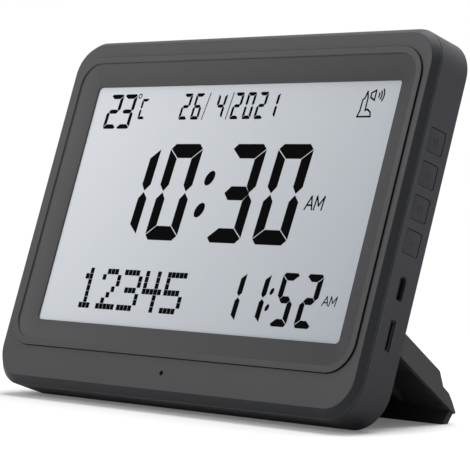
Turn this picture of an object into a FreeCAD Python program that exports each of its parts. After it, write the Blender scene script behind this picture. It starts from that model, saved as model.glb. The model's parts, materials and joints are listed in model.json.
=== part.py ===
# Leaning table clock with a large numeral display, four side keys and a folding rear leg.
# Built upright: x across the face, y back into the case, z up from the case bottom.
# The finished pieces are then leaned back so the clock stands on z = 0, face towards -y.
import FreeCAD, Part
import math
import os

Vec = FreeCAD.Vector

# Display window and the steps of the front around it, from the window outwards
window_width = 175.7
window_height = 102.3
window_radius = 1.8
window_depth = 2.36
slope_side = 8.8
slope_top = 9.5
slope_bottom = 9.0
rim_band = 2.9
rim_height = 0.8
rim_radius = 12.5
face_side = 3.0
face_top = 5.25
face_bottom = 12.9
chamfer_side = 2.45
chamfer_top = 2.55
chamfer_bottom = 3.4
chamfer_depth = 2.7
corner_radius = 15.0

# Case
case_depth = 18.5
wall = 2.0
parting_gap = 0.3
tongue_thickness = 1.5
tongue_depth = 2.8
tongue_clearance = 0.15
back_chamfer = 0.9
lean_angle = 19.3
standing_land = 0.3
lip_thickness = 0.7

# Display stack, front to back
glass_margin = 4.0
contact_ledge = 6.5
polarizer_thickness = 0.2
glass_thickness = 1.1
diffuser_thickness = 0.5
guide_thickness = 2.0
reflector_thickness = 0.2
tray_floor = 1.0
tray_wall = 1.6
stack_clearance = 0.2
led_bar_width = 1.4

# Boards
board_thickness = 1.6
thin_board = 1.2
main_board_width = 64.0
main_board_height = 66.0
board_side_gap = 7.2
main_board_bottom = 62.0
main_board_setback = 1.6
port_board_length = 17.0
port_board_height = 34.0
port_board_gap = 1.35
board_inset = 3.5
processor_side = 14.0
memory_length = 8.0
memory_width = 6.0
amplifier_length = 6.0
amplifier_width = 5.0
coil_side = 6.0
capacitor_radius = 2.2
capacitor_pitch = 7.0
crystal_length = 11.0
crystal_width = 4.0
chip_thickness = 1.5
tall_part = 2.4
ribbon_width = 22.0
ribbon_thickness = 0.3
rail_end = 1.0
board_end_room = 1.0

# Side keys
key_count = 4
key_pitch = 13.0
key_height = 9.1
key_depth = 8.3
key_corner = 1.0
key_low = 69.6
key_axis_depth = 9.9
key_gap = 0.15
key_travel = 0.5
key_flange = 1.0
key_flange_lip = 1.2
switch_size = 4.6
switch_body = 1.5
switch_plunger = 0.5
switch_rest_gap = 0.1

# Sockets in the right side
usb_height = 9.0
usb_depth = 3.2
usb_length = 7.3
usb_centre = 52.1
usb_shell = 0.35
card_height = 11.4
card_depth = 2.6
card_length = 10.6
card_centre = 34.5
card_slot_depth = 1.1
socket_inset = 0.4
socket_clearance = 0.15

# Speaker
speaker_radius = 20.0
speaker_x = -62.0
speaker_z = 92.0
speaker_depth = 5.2
speaker_flange = 1.2
magnet_radius = 9.0
magnet_thickness = 1.7
gasket_thickness = 0.5
grille_slot = 2.0
grille_pitch = 4.0

# Battery
battery_width = 50.0
battery_height = 66.0
battery_thickness = 4.6
battery_left = -34.0
battery_bottom = 56.0
tape_thickness = 0.4
cradle_rib = 1.4
cradle_clearance = 0.3

# Light sensor behind its pinhole, and the thermometer bead
pinhole_diameter = 2.0
pinhole_x = -0.5
pinhole_z = 10.3
sensor_width = 3.4
sensor_thickness = 1.6
sensor_board_width = 18.0
sensor_board_height = 9.0
bead_radius = 1.6
bead_length = 4.0
bead_x = 84.0
bead_z = 135.5
vent_slot = 1.6
vent_pitch = 3.4
vent_length = 12.0

# Fasteners
screw_radius = 1.1
screw_head_radius = 2.0
screw_head_height = 1.8
well_clearance = 0.3
well_wall = 1.4
well_floor = 2.0
well_depth = 4.5
boss_radius = 2.6
small_screw_radius = 0.9
small_head_radius = 1.7
small_head_height = 1.1
small_screw_grip = 4.0
corner_screw_inset = 7.5
corner_screw_low = 12.0
middle_screw_x = 45.0
middle_screw_inset = 10.0

# Wall hooks
hook_x = 60.0
hook_from_top = 19.0
hook_head_radius = 4.2
hook_neck_radius = 2.1
hook_rise = 7.0

# Folding leg
leg_width = 203.0
leg_thickness = 8.0
leg_opening = 70.9
leg_root_height = 30.8
leg_gap = 0.3
leg_flat = 23.6
leg_step_run = 5.3
leg_step_drop = 3.55
leg_shelf_run = 4.0
leg_shelf_drop = 0.15
leg_taper_run = 3.1
leg_taper_drop = 1.25
leg_toe_run = 4.4
leg_toe_drop = 2.25
leg_skin = 1.8
leg_side_wall = 2.0
leg_rib = 1.4
leg_rib_recess = 0.8
hinge_height = 3.6
hinge_x = 70.0
ear_width = 10.0
ear_radius = 2.3
ear_side_gap = 0.3
knuckle_width = 3.0
pin_radius = 1.2
pin_fit = 0.05
foot_strip = 2.3
foot_width_inset = 1.0

# Sides of the small repeated rounds, which are drawn with flats to keep the model light
small_sides = 10
large_sides = 32

# Places worked out from the sizes above
window_half = window_width / 2
rim_inner_half = window_half + slope_side
rim_outer_half = rim_inner_half + rim_band
face_half = rim_outer_half + face_side
case_half = face_half + chamfer_side
face_low = chamfer_bottom
rim_outer_low = face_low + face_bottom
rim_inner_low = rim_outer_low + rim_band
window_low = rim_inner_low + slope_bottom
window_high = window_low + window_height
rim_inner_high = window_high + slope_top
rim_outer_high = rim_inner_high + rim_band
face_high = rim_outer_high + face_top
case_high = face_high + chamfer_top
face_radius = corner_radius - chamfer_side
inner_half = case_half - wall
inner_high = case_high - wall
inner_radius = corner_radius - wall
floor_y = case_depth - wall

glass_half = window_half + glass_margin
glass_low = window_low - contact_ledge
glass_high = window_high + glass_margin
front_back_y = window_depth + lip_thickness
front_glass_y = front_back_y + polarizer_thickness
rear_glass_y = front_glass_y + glass_thickness
rear_polarizer_y = rear_glass_y + glass_thickness
diffuser_y = rear_polarizer_y + polarizer_thickness
guide_y = diffuser_y + diffuser_thickness
reflector_y = guide_y + guide_thickness
tray_floor_y = reflector_y + reflector_thickness
tray_back_y = tray_floor_y + tray_floor
main_board_y = tray_back_y + main_board_setback
key_board_x = inner_half - key_flange - key_travel - switch_rest_gap - switch_plunger
key_board_x = key_board_x - switch_body - thin_board
main_board_left = key_board_x - board_side_gap - main_board_width
tray_half = glass_half + stack_clearance + tray_wall
tray_low = glass_low - stack_clearance - tray_wall
tray_high = glass_high + stack_clearance + tray_wall

hinge_run = hinge_height * math.tan(math.radians(leg_opening / 2))
hinge_y = case_depth + leg_gap + hinge_height
hinge_z = (leg_root_height - hinge_run * math.cos(math.radians(leg_opening))
           + hinge_height * math.sin(math.radians(leg_opening)))
stand_drop = case_depth * math.sin(math.radians(lean_angle)) - standing_land
depth_low = face_low * math.sin(math.radians(lean_angle))
depth_high = (case_high * math.sin(math.radians(lean_angle))
              + case_depth * math.cos(math.radians(lean_angle)))
centre_shift = (depth_low + depth_high) / 2


# Basic shapes, all in the upright frame
def rounded_outline(x0, x1, z0, z1, radius, y):
    """Closed wire of a rounded rectangle in the plane at depth y."""
    side = radius * (1 - math.sqrt(0.5))
    corners = []
    corners.append(Part.makeLine(Vec(x0 + radius, y, z0), Vec(x1 - radius, y, z0)))
    corners.append(Part.Arc(Vec(x1 - radius, y, z0), Vec(x1 - side, y, z0 + side),
                            Vec(x1, y, z0 + radius)).toShape())
    corners.append(Part.makeLine(Vec(x1, y, z0 + radius), Vec(x1, y, z1 - radius)))
    corners.append(Part.Arc(Vec(x1, y, z1 - radius), Vec(x1 - side, y, z1 - side),
                            Vec(x1 - radius, y, z1)).toShape())
    corners.append(Part.makeLine(Vec(x1 - radius, y, z1), Vec(x0 + radius, y, z1)))
    corners.append(Part.Arc(Vec(x0 + radius, y, z1), Vec(x0 + side, y, z1 - side),
                            Vec(x0, y, z1 - radius)).toShape())
    corners.append(Part.makeLine(Vec(x0, y, z1 - radius), Vec(x0, y, z0 + radius)))
    corners.append(Part.Arc(Vec(x0, y, z0 + radius), Vec(x0 + side, y, z0 + side),
                            Vec(x0 + radius, y, z0)).toShape())
    return Part.Wire(corners)


def rounded_block(x0, x1, z0, z1, radius, y0, y1):
    """Rounded rectangle carried from depth y0 to depth y1."""
    face = Part.Face(rounded_outline(x0, x1, z0, z1, radius, y0))
    return face.extrude(Vec(0, y1 - y0, 0))


def block(x0, x1, y0, y1, z0, z1):
    """Plain block between two corners."""
    return Part.makeBox(x1 - x0, y1 - y0, z1 - z0, Vec(x0, y0, z0))


def ring_points(x, z, radius, y, sides):
    """Corners of a regular ring in the plane at depth y."""
    turns = [2 * math.pi * (index + 0.5) / sides for index in range(sides)]
    return [Vec(x + radius * math.cos(turn), y, z + radius * math.sin(turn)) for turn in turns]


def rod(x, z, radius, y0, y1, sides=small_sides):
    """Small round bar along the depth of the case, with flats in place of the curve."""
    corners = ring_points(x, z, radius, y0, sides)
    return Part.Face(Part.makePolygon(corners + corners[:1])).extrude(Vec(0, y1 - y0, 0))


def tube(x, z, outer, inner, y0, y1, sides=small_sides):
    """Small round tube along the depth of the case."""
    return rod(x, z, outer, y0, y1, sides).cut(rod(x, z, inner, y0, y1, sides))


def slot(x0, x1, z, width, y0, y1):
    """Level slot with round ends."""
    middle = block(x0, x1, y0, y1, z - width / 2, z + width / 2)
    return middle.fuse([rod(x0, z, width / 2, y0, y1), rod(x1, z, width / 2, y0, y1)])


def turned(points, x, z, sides):
    """Turned piece: (radius, depth) points carried round a line along the case depth."""
    rings = [ring_points(x, z, r, y, sides) for r, y in points]
    faces = []
    for index, ring in enumerate(rings):
        after = rings[(index + 1) % len(rings)]
        first = points[index][0]
        second = points[(index + 1) % len(points)][0]
        if first == 0 and second == 0:
            continue
        for side in range(sides):
            other = (side + 1) % sides
            corners = [ring[side]]
            if first > 0:
                corners.append(ring[other])
            corners.append(after[other])
            if second > 0:
                corners.append(after[side])
            faces.append(Part.Face(Part.makePolygon(corners + corners[:1])))
    body = Part.Solid(Part.Shell(faces))
    if body.Volume < 0:
        body.reverse()
    return body


def screw(x, z, seat_y, radius, head_radius, head_height, tip_y):
    """Pan-head screw driven from the back, its head seated at seat_y."""
    points = [(0, tip_y), (radius, tip_y), (radius, seat_y), (head_radius, seat_y)]
    points += [(head_radius * 0.8, seat_y + head_height), (0, seat_y + head_height)]
    return turned(points, x, z, small_sides)


def cut_all(shape, tools):
    """Take every tool out of the shape."""
    return shape.cut(tools) if tools else shape


# Front housing: bevelled plate, raised rim, sloped surround and the window
def case_screw_places():
    """Places of the eight screws that close the case."""
    corner_x = case_half - corner_screw_inset
    corner_high = case_high - corner_screw_low
    middle_low = middle_screw_inset
    middle_high = case_high - middle_screw_inset
    places = []
    for side in (-1, 1):
        places.append((side * corner_x, corner_screw_low))
        places.append((side * corner_x, corner_high))
        places.append((side * middle_screw_x, middle_low))
        places.append((side * middle_screw_x, middle_high))
    return places


def tray_ear_places():
    """Places of the four screws that hold the display tray to the front housing."""
    reach = boss_radius
    ear_x = window_half - slope_side - boss_radius * 2
    return [(x, z) for x in (-ear_x, ear_x) for z in (tray_low - reach, tray_high + reach)]


well_floor_y = case_depth - well_depth
boss_end_y = well_floor_y - well_floor
ear_face_y = tray_back_y - tray_floor


def front_housing():
    """One moulding: face, rim, slope to the window, tongue and screw bosses."""
    face = rounded_outline(-face_half, face_half, face_low, face_high, face_radius, 0)
    parting = rounded_outline(-case_half, case_half, 0, case_high, corner_radius, chamfer_depth)
    plate = Part.makeLoft([face, parting], True, True)
    rim_base = rounded_outline(-rim_outer_half, rim_outer_half, rim_outer_low, rim_outer_high,
                               rim_radius, chamfer_depth / 2)
    rim = Part.Face(rim_base).extrude(Vec(0, -rim_height - chamfer_depth / 2, 0))
    pad_half = inner_half - tongue_clearance
    pad_low = wall + tongue_clearance
    pad_high = inner_high - tongue_clearance
    pad_radius = inner_radius - tongue_clearance
    pad = rounded_block(-pad_half, pad_half, pad_low, pad_high, pad_radius,
                        chamfer_depth / 2, front_back_y)
    tongue = rounded_block(-pad_half, pad_half, pad_low, pad_high, pad_radius,
                           front_back_y, chamfer_depth + tongue_depth)
    inside = tongue_thickness
    tongue = tongue.cut(rounded_block(-pad_half + inside, pad_half - inside, pad_low + inside,
                                      pad_high - inside, pad_radius - inside, front_back_y - 1,
                                      chamfer_depth + tongue_depth + 1))
    bosses = []
    bores = []
    for x, z in case_screw_places():
        bosses.append(rod(x, z, boss_radius, front_back_y - 1, boss_end_y))
        bores.append(rod(x, z, screw_radius, front_back_y + 1, boss_end_y + 1))
    for x, z in tray_ear_places():
        bosses.append(rod(x, z, boss_radius, front_back_y - 1, ear_face_y))
        bores.append(rod(x, z, small_screw_radius, front_back_y + 0.5, ear_face_y + 1))
    for x in sensor_post_places():
        bosses.append(rod(x, pinhole_z, boss_radius * 0.7, front_back_y - 1, sensor_board_y()))
    body = plate.fuse([rim, pad, tongue] + bosses)
    inner_step = rounded_block(-rim_inner_half, rim_inner_half, rim_inner_low, rim_inner_high,
                               rim_radius - rim_band, -rim_height - 1, 0)
    slope_start = rounded_outline(-rim_inner_half, rim_inner_half, rim_inner_low,
                                  rim_inner_high, rim_radius - rim_band, 0)
    slope_end = rounded_outline(-window_half, window_half, window_low, window_high,
                                window_radius, window_depth)
    slope = Part.makeLoft([slope_start, slope_end], True, True)
    window = rounded_block(-window_half, window_half, window_low, window_high, window_radius,
                           window_depth - 0.5, front_back_y + 1)
    pinhole = rod(pinhole_x, pinhole_z, pinhole_diameter / 2, -1, front_back_y + 1,
                  small_sides * 2)
    key_room = block(inner_half - wall - key_flange_lip, case_half, front_back_y,
                     chamfer_depth + tongue_depth + 1, key_band_low(), key_band_high())
    body = cut_all(body, [inner_step, slope, window, pinhole, key_room] + bores)
    return body.removeSplitter()


# Rear housing: side band, back wall, keys and socket cut-outs, grille, wells and hinge ears
def key_centres():
    """Heights of the side keys."""
    return [key_low + index * key_pitch for index in range(key_count)]


def key_band_low():
    return key_centres()[0] - key_height / 2 - key_flange_lip - wall


def key_band_high():
    return key_centres()[-1] + key_height / 2 + key_flange_lip + wall


def side_block(x0, x1, y_centre, z_centre, depth, height, corner):
    """Block across the right side wall with its four long edges rounded, or bevelled if small."""
    body = block(x0, x1, y_centre - depth / 2, y_centre + depth / 2,
                 z_centre - height / 2, z_centre + height / 2)
    edges = [edge for edge in body.Edges if edge.BoundBox.XLength > (x1 - x0) * 0.9]
    if corner > key_corner:
        return body.makeFillet(corner, edges)
    return body.makeChamfer(corner * 0.6, edges)


def main_board_posts():
    """Places of the four posts under the main board."""
    left = main_board_left + board_inset
    right = main_board_left + main_board_width - board_inset
    low = main_board_bottom + board_inset
    high = main_board_bottom + main_board_height - board_inset
    return [(x, z) for x in (left, right) for z in (low, high)]


port_board_right = inner_half - socket_inset
port_board_bottom = (key_band_low() + wall - board_end_room - wall - rail_end
                     - port_board_gap - port_board_height)
port_board_left = port_board_right - port_board_length
port_board_y = key_axis_depth + usb_depth / 2 + 0.6


def port_board_posts():
    """Places of the two posts under the socket board."""
    x = port_board_left + board_inset
    middle = port_board_bottom + port_board_height / 2
    reach = port_board_height / 2 - board_inset
    return [(x, middle - reach), (x, middle + reach)]


def speaker_slots():
    """Level slots of the sound grille inside the cone's circle."""
    reach = speaker_radius - grille_pitch / 2
    count = int(reach // grille_pitch)
    slots = []
    for index in range(-count, count + 1):
        offset = index * grille_pitch
        half = math.sqrt(reach ** 2 - offset ** 2) - grille_slot / 2
        slots.append(slot(speaker_x - half, speaker_x + half, speaker_z + offset,
                          grille_slot, floor_y - 1, case_depth + 1))
    return slots


def wall_hook(side):
    """Keyhole for a wall screw: round entry with a narrower neck above it."""
    x = side * hook_x
    z = case_high - hook_from_top
    entry = rod(x, z, hook_head_radius, floor_y - 1, case_depth + 1, small_sides * 2)
    neck = block(x - hook_neck_radius, x + hook_neck_radius, floor_y - 1, case_depth + 1,
                 z, z + hook_rise)
    end = rod(x, z + hook_rise, hook_neck_radius, floor_y - 1, case_depth + 1, small_sides * 2)
    return entry.fuse([neck, end])


def hinge_ear(side):
    """Ear on the back wall that carries one hinge pin."""
    x0 = side * hinge_x - ear_width / 2
    stem = block(x0, x0 + ear_width, floor_y, hinge_y, hinge_z - ear_radius,
                 hinge_z + ear_radius)
    nose = Part.makeCylinder(ear_radius, ear_width, Vec(x0, hinge_y, hinge_z), Vec(1, 0, 0))
    bore = Part.makeCylinder(pin_radius + pin_fit, ear_width + 2, Vec(x0 - 1, hinge_y, hinge_z),
                             Vec(1, 0, 0))
    return stem.fuse(nose).cut(bore)


def battery_cradle():
    """Low frame on the back wall round the battery, open at its middle."""
    grow = cradle_clearance + cradle_rib
    x0 = battery_left
    x1 = battery_left + battery_width
    z0 = battery_bottom
    z1 = battery_bottom + battery_height
    y0 = floor_y - battery_thickness * 0.7
    outer = block(x0 - grow, x1 + grow, y0, floor_y + wall / 2, z0 - grow, z1 + grow)
    inner = block(x0 - cradle_clearance, x1 + cradle_clearance, y0 - 1, floor_y + wall,
                  z0 - cradle_clearance, z1 + cradle_clearance)
    third_x = battery_width / 3
    third_z = battery_height / 3
    across = block(x0 - grow - 1, x1 + grow + 1, y0 - 1, floor_y, z0 + third_z, z1 - third_z)
    down = block(x0 + third_x, x1 - third_x, y0 - 1, floor_y, z0 - grow - 1, z1 + grow + 1)
    return outer.cut([inner, across, down])


def key_board_rails():
    """Two channels on the back wall that hold the ends of the key board."""
    rails = []
    for z, direction in ((key_board_low(), -1), (key_board_high(), 1)):
        outer = block(key_board_x - wall, key_board_x + thin_board + switch_body, key_board_y0,
                      floor_y + wall / 2, min(z, z + direction * wall) - rail_end,
                      max(z, z + direction * wall) + rail_end)
        fit = cradle_clearance / 3
        channel = block(key_board_x - fit, key_board_x + thin_board + fit, key_board_y0 - 1,
                        key_board_y1 + fit, key_board_low() - fit, key_board_high() + fit)
        rails.append(outer.cut(channel))
    return rails


def rear_housing():
    """One moulding: side band, back wall and everything the back wall carries."""
    shell = rounded_block(-case_half, case_half, 0, case_high, corner_radius,
                          chamfer_depth + parting_gap, case_depth)
    back_edges = [edge for edge in shell.Edges if edge.BoundBox.YMin > case_depth - 0.01]
    shell = shell.makeChamfer(back_chamfer, back_edges)
    shell = shell.cut(rounded_block(-inner_half, inner_half, wall, inner_high, inner_radius,
                                    chamfer_depth, floor_y))
    added = [hinge_ear(-1), hinge_ear(1), battery_cradle()] + key_board_rails()
    taken = speaker_slots() + [wall_hook(-1), wall_hook(1)]
    well_radius = screw_head_radius + well_clearance
    for x, z in case_screw_places():
        added.append(rod(x, z, well_radius + well_wall, boss_end_y, floor_y + wall / 2))
        taken.append(rod(x, z, well_radius, well_floor_y, case_depth + 1))
        taken.append(rod(x, z, screw_radius + well_clearance / 2, boss_end_y - 1, case_depth))
    for x, z in main_board_posts():
        added.append(tube(x, z, boss_radius, small_screw_radius, main_board_y + board_thickness,
                          floor_y + wall / 2))
    for x, z in port_board_posts():
        added.append(tube(x, z, boss_radius, small_screw_radius, port_board_y + thin_board,
                          floor_y + wall / 2))
    added.append(tube(speaker_x, speaker_z, speaker_radius + gasket_thickness + wall,
                      speaker_radius + gasket_thickness, floor_y - speaker_flange,
                      floor_y + wall / 2, large_sides))
    for index in range(-1, 2):
        z = bead_z + index * vent_pitch
        taken.append(slot(bead_x - vent_length / 2, bead_x + vent_length / 2, z, vent_slot,
                          floor_y - 1, case_depth + 1))
    for z in key_centres():
        taken.append(side_block(inner_half - 1, case_half + 1, key_axis_depth, z,
                                key_depth + 2 * key_gap, key_height + 2 * key_gap, key_corner))
    taken.append(side_block(inner_half - 1, case_half + 1, key_axis_depth, usb_centre,
                            usb_depth + 2 * socket_clearance, usb_height + 2 * socket_clearance,
                            usb_depth / 2))
    taken.append(side_block(inner_half - 1, case_half + 1, key_axis_depth, card_centre,
                            card_depth + 2 * socket_clearance, card_height + 2 * socket_clearance,
                            socket_clearance))
    body = shell.fuse(added)
    body = cut_all(body, taken)
    return cut_at_table(body).removeSplitter()


# Display stack and its tray
def display_layer(half, low, high, y0, thickness):
    """One flat layer of the display."""
    return block(-half, half, y0, y0 + thickness, low, high)


def lcd_tray():
    """Open tray round the display layers, with four screw ears."""
    outer = display_layer(tray_half, tray_low, tray_high, front_back_y, tray_back_y - front_back_y)
    room = stack_clearance
    inner = display_layer(glass_half + room, glass_low - room, glass_high + room,
                          front_back_y - 1, tray_floor_y - front_back_y + 1)
    mouth = block(ribbon_left - room, ribbon_left + ribbon_width + room, front_back_y - 1,
                  ribbon_step_y + room, tray_low - 1, glass_low)
    body = outer.cut([inner, mouth])
    ears = []
    bores = []
    for x, z in tray_ear_places():
        ears.append(rod(x, z, boss_radius, ear_face_y, tray_back_y))
        inner_z = tray_low + tray_wall if z < tray_low else tray_high - tray_wall
        ears.append(block(x - boss_radius, x + boss_radius, ear_face_y, tray_back_y,
                          min(z, inner_z), max(z, inner_z)))
        bores.append(rod(x, z, small_screw_radius + 0.15, ear_face_y - 1, tray_back_y + 1))
    return body.fuse(ears).cut(bores).removeSplitter()


ribbon_left = main_board_left + (main_board_width - ribbon_width) / 2
ribbon_top = main_board_bottom + board_inset * 2
ribbon_step_y = rear_glass_y + ribbon_thickness
ribbon_back_y = tray_back_y + ribbon_thickness


def lcd_ribbon():
    """Flat ribbon from the glass ledge, round the tray and up to the main board."""
    low_out = tray_low - 2 * ribbon_thickness
    top = ribbon_top
    wire = Part.makePolygon([
        Vec(0, rear_glass_y, glass_low + contact_ledge * 0.6),
        Vec(0, ribbon_step_y, glass_low + contact_ledge * 0.6),
        Vec(0, ribbon_step_y, low_out + ribbon_thickness),
        Vec(0, tray_back_y, low_out + ribbon_thickness),
        Vec(0, tray_back_y, top),
        Vec(0, ribbon_back_y, top),
        Vec(0, ribbon_back_y, low_out),
        Vec(0, rear_glass_y, low_out),
        Vec(0, rear_glass_y, glass_low + contact_ledge * 0.6)])
    strip = Part.Face(wire).extrude(Vec(ribbon_width, 0, 0))
    strip.translate(Vec(ribbon_left, 0, 0))
    return strip


# Boards and what sits on them
def drilled_board(x0, x1, y0, thickness, z0, z1, places):
    """Circuit board across the case depth, with its screw holes."""
    board = block(x0, x1, y0, y0 + thickness, z0, z1)
    return cut_all(board, [rod(x, z, small_screw_radius + 0.15, y0 - 1, y0 + thickness + 1)
                           for x, z in places])


def main_board():
    return drilled_board(main_board_left, main_board_left + main_board_width, main_board_y,
                         board_thickness, main_board_bottom, main_board_bottom + main_board_height,
                         main_board_posts())


def board_parts():
    """Processor, memory, sound amplifier, clock crystal, coil and capacitors on the board."""
    face = main_board_y + board_thickness
    x = main_board_left
    z = main_board_bottom
    wide = main_board_width
    tall = main_board_height
    chips = []
    for share_x, share_z, width, height, thickness in (
            (0.39, 0.56, processor_side, processor_side, chip_thickness),
            (0.66, 0.56, memory_length, memory_width, chip_thickness),
            (0.27, 0.22, amplifier_length, amplifier_width, chip_thickness),
            (0.83, 0.26, coil_side, coil_side, tall_part),
            (0.66, 0.79, crystal_length, crystal_width, tall_part)):
        left = x + wide * share_x - width / 2
        low = z + tall * share_z - height / 2
        chips.append(block(left, left + width, face, face + thickness, low, low + height))
    for index in (-1, 0, 1):
        chips.append(rod(x + wide * 0.54 + index * capacitor_pitch, z + tall * 0.21,
                         capacitor_radius, face, face + tall_part))
    return Part.makeCompound(chips)


def ribbon_socket():
    """Socket on the front of the main board that takes the display ribbon."""
    over = ribbon_thickness * 3
    return block(ribbon_left - over, ribbon_left + ribbon_width + over, ribbon_back_y,
                 main_board_y, ribbon_top - board_inset, ribbon_top)


key_board_y0 = key_axis_depth - key_depth / 2 - 0.6
key_board_y1 = key_axis_depth + key_depth / 2 + 0.6


def key_board_low():
    return key_centres()[0] - key_height / 2 - key_flange_lip - board_end_room


def key_board_high():
    return key_centres()[-1] + key_height / 2 + key_flange_lip + board_end_room


def key_board():
    return block(key_board_x, key_board_x + thin_board, key_board_y0, key_board_y1,
                 key_board_low(), key_board_high())


def key_switches():
    """Four push switches on the key board, each with its round plunger."""
    pieces = []
    for z in key_centres():
        x = key_board_x + thin_board
        half = switch_size / 2
        body = block(x, x + switch_body, key_axis_depth - half, key_axis_depth + half,
                     z - half, z + half)
        reach = half * 0.5
        plunger = block(x + switch_body, x + switch_body + switch_plunger, key_axis_depth - reach,
                        key_axis_depth + reach, z - reach, z + reach)
        pieces.append(body.fuse(plunger))
    return Part.makeCompound(pieces)


def side_key(z):
    """Key cap: flush face, and a wider flange that stops against the inside of the wall."""
    cap = side_block(inner_half - key_flange / 2, case_half, key_axis_depth, z, key_depth,
                     key_height, key_corner - key_gap)
    flange = block(inner_half - key_flange, inner_half, key_axis_depth - key_depth / 2
                   - key_flange_lip, key_axis_depth + key_depth / 2 + key_flange_lip,
                   z - key_height / 2 - key_flange_lip, z + key_height / 2 + key_flange_lip)
    return cap.fuse(flange).removeSplitter()


def port_board():
    return drilled_board(port_board_left, port_board_right, port_board_y, thin_board,
                         port_board_bottom, port_board_bottom + port_board_height,
                         port_board_posts())


def usb_socket():
    """Flattened metal sleeve with its tongue inside."""
    x1 = case_half - socket_inset
    x0 = x1 - usb_length
    outer = side_block(x0, x1, key_axis_depth, usb_centre, usb_depth, usb_height,
                       usb_depth / 2 * 0.98)
    inner = side_block(x0 + 1, x1 + 1, key_axis_depth, usb_centre, usb_depth - 2 * usb_shell,
                       usb_height - 2 * usb_shell, (usb_depth / 2 - usb_shell) * 0.98)
    tongue = block(x0 + 0.5, x1 - 1, key_axis_depth - 0.35, key_axis_depth + 0.35,
                   usb_centre - usb_height * 0.36, usb_centre + usb_height * 0.36)
    legs = [block(x0 + 1, x0 + 2.5, key_axis_depth + usb_depth / 2 - 0.3, port_board_y,
                  usb_centre + side * (usb_height / 2 - 1.8) - 0.5,
                  usb_centre + side * (usb_height / 2 - 1.8) + 0.5) for side in (-1, 1)]
    return outer.cut(inner).fuse([tongue] + legs).removeSplitter()


def card_socket():
    """Flat memory card socket with its mouth in the side wall."""
    x1 = case_half - socket_inset
    x0 = x1 - card_length
    body = block(x0, x1, key_axis_depth - card_depth / 2, key_axis_depth + card_depth / 2,
                 card_centre - card_height / 2, card_centre + card_height / 2)
    mouth = block(x0 + 1.5, x1 + 1, key_axis_depth - card_slot_depth / 2,
                  key_axis_depth + card_slot_depth / 2, card_centre - card_height / 2 + 0.5,
                  card_centre + card_height / 2 - 0.5)
    feet = [block(x0 + 1, x0 + 3, key_axis_depth + card_depth / 2 - 0.3, port_board_y,
                  card_centre + side * (card_height / 2 - 1.5) - 0.5,
                  card_centre + side * (card_height / 2 - 1.5) + 0.5) for side in (-1, 1)]
    return body.cut(mouth).fuse(feet).removeSplitter()


# Speaker, battery and sensors
def speaker_frame():
    """Pressed basket of the speaker, open at its back wall side."""
    front = floor_y - gasket_thickness
    back = front - speaker_depth + magnet_thickness
    r = speaker_radius
    points = [(r, front), (r, front - speaker_flange), (r * 0.86, front - speaker_flange),
              (magnet_radius, back), (0, back), (0, back + 0.8), (magnet_radius - 0.6, back + 0.8),
              (r * 0.8, front)]
    return turned(points, speaker_x, speaker_z, large_sides)


def speaker_cone():
    """Paper cone with its round dust cap."""
    front = floor_y - gasket_thickness
    r = speaker_radius
    rim = r * 0.8
    foot = magnet_radius - 0.6
    base = front - speaker_depth + magnet_thickness + 0.8
    step = 0.9
    points = [(rim - step, front - 0.2), (rim - step - 0.6, front - 0.2), (foot - 1.2, base + 0.5),
              (foot * 0.5, base + 1.0), (0, base + 1.2), (0, base), (foot - 0.8, base)]
    return turned(points, speaker_x, speaker_z, large_sides)


def speaker_magnet():
    back = floor_y - gasket_thickness - speaker_depth + magnet_thickness
    return rod(speaker_x, speaker_z, magnet_radius, back - magnet_thickness, back, large_sides)


def speaker_gasket():
    return tube(speaker_x, speaker_z, speaker_radius, speaker_radius - wall,
                floor_y - gasket_thickness, floor_y, large_sides)


def battery_pack():
    """Flat rechargeable cell with bevelled long edges."""
    y1 = floor_y - tape_thickness
    y0 = y1 - battery_thickness
    body = block(battery_left, battery_left + battery_width, y0, y1, battery_bottom,
                 battery_bottom + battery_height)
    edges = [edge for edge in body.Edges if edge.BoundBox.ZLength > battery_height * 0.9]
    return body.makeChamfer(battery_thickness * 0.3, edges)


def battery_tape():
    inset = battery_width * 0.12
    return block(battery_left + inset, battery_left + battery_width - inset,
                 floor_y - tape_thickness, floor_y, battery_bottom + inset,
                 battery_bottom + battery_height - inset)


def sensor_board_y():
    return front_back_y + sensor_thickness + 0.1


def sensor_post_places():
    """Sideways places of the two posts that carry the sensor board."""
    reach = sensor_board_width / 2 - boss_radius
    return [pinhole_x - reach, pinhole_x + reach]


def sensor_board():
    y0 = sensor_board_y()
    half = sensor_board_width / 2
    return block(pinhole_x - half, pinhole_x + half, y0, y0 + thin_board,
                 pinhole_z - sensor_board_height / 2, pinhole_z + sensor_board_height / 2)


def light_sensor():
    half = sensor_width / 2
    y1 = sensor_board_y()
    return block(pinhole_x - half, pinhole_x + half, y1 - sensor_thickness, y1,
                 pinhole_z - half, pinhole_z + half)


def thermometer_bead():
    """Small dipped bead that rests on the back wall behind the vents."""
    y = floor_y - bead_radius
    corners = [Vec(bead_x - bead_length / 2, point.x + y, point.z + bead_z)
               for point in ring_points(0, 0, bead_radius, 0, small_sides)]
    bar = Part.Face(Part.makePolygon(corners + corners[:1])).extrude(Vec(bead_length, 0, 0))
    ends = [edge for edge in bar.Edges if edge.BoundBox.XLength < 0.01]
    body = bar.makeChamfer(bead_radius * 0.25, ends)
    flat = block(bead_x - bead_length, bead_x + bead_length, floor_y - 0.25, floor_y + bead_radius,
                 bead_z - bead_length, bead_z + bead_length)
    pad = block(bead_x - bead_length * 0.3, bead_x + bead_length * 0.3, floor_y - 0.5, floor_y,
                bead_z - vent_pitch / 2 + vent_slot / 2, bead_z + vent_pitch / 2 - vent_slot / 2)
    return body.cut(flat).fuse(pad)


# Folding leg, drawn folded: run goes down from the root, height goes out from the back
def leg_point(run, height):
    """Point of the folded leg's side view."""
    return Vec(0, case_depth + leg_gap + height, hinge_z + hinge_run - run)


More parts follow.
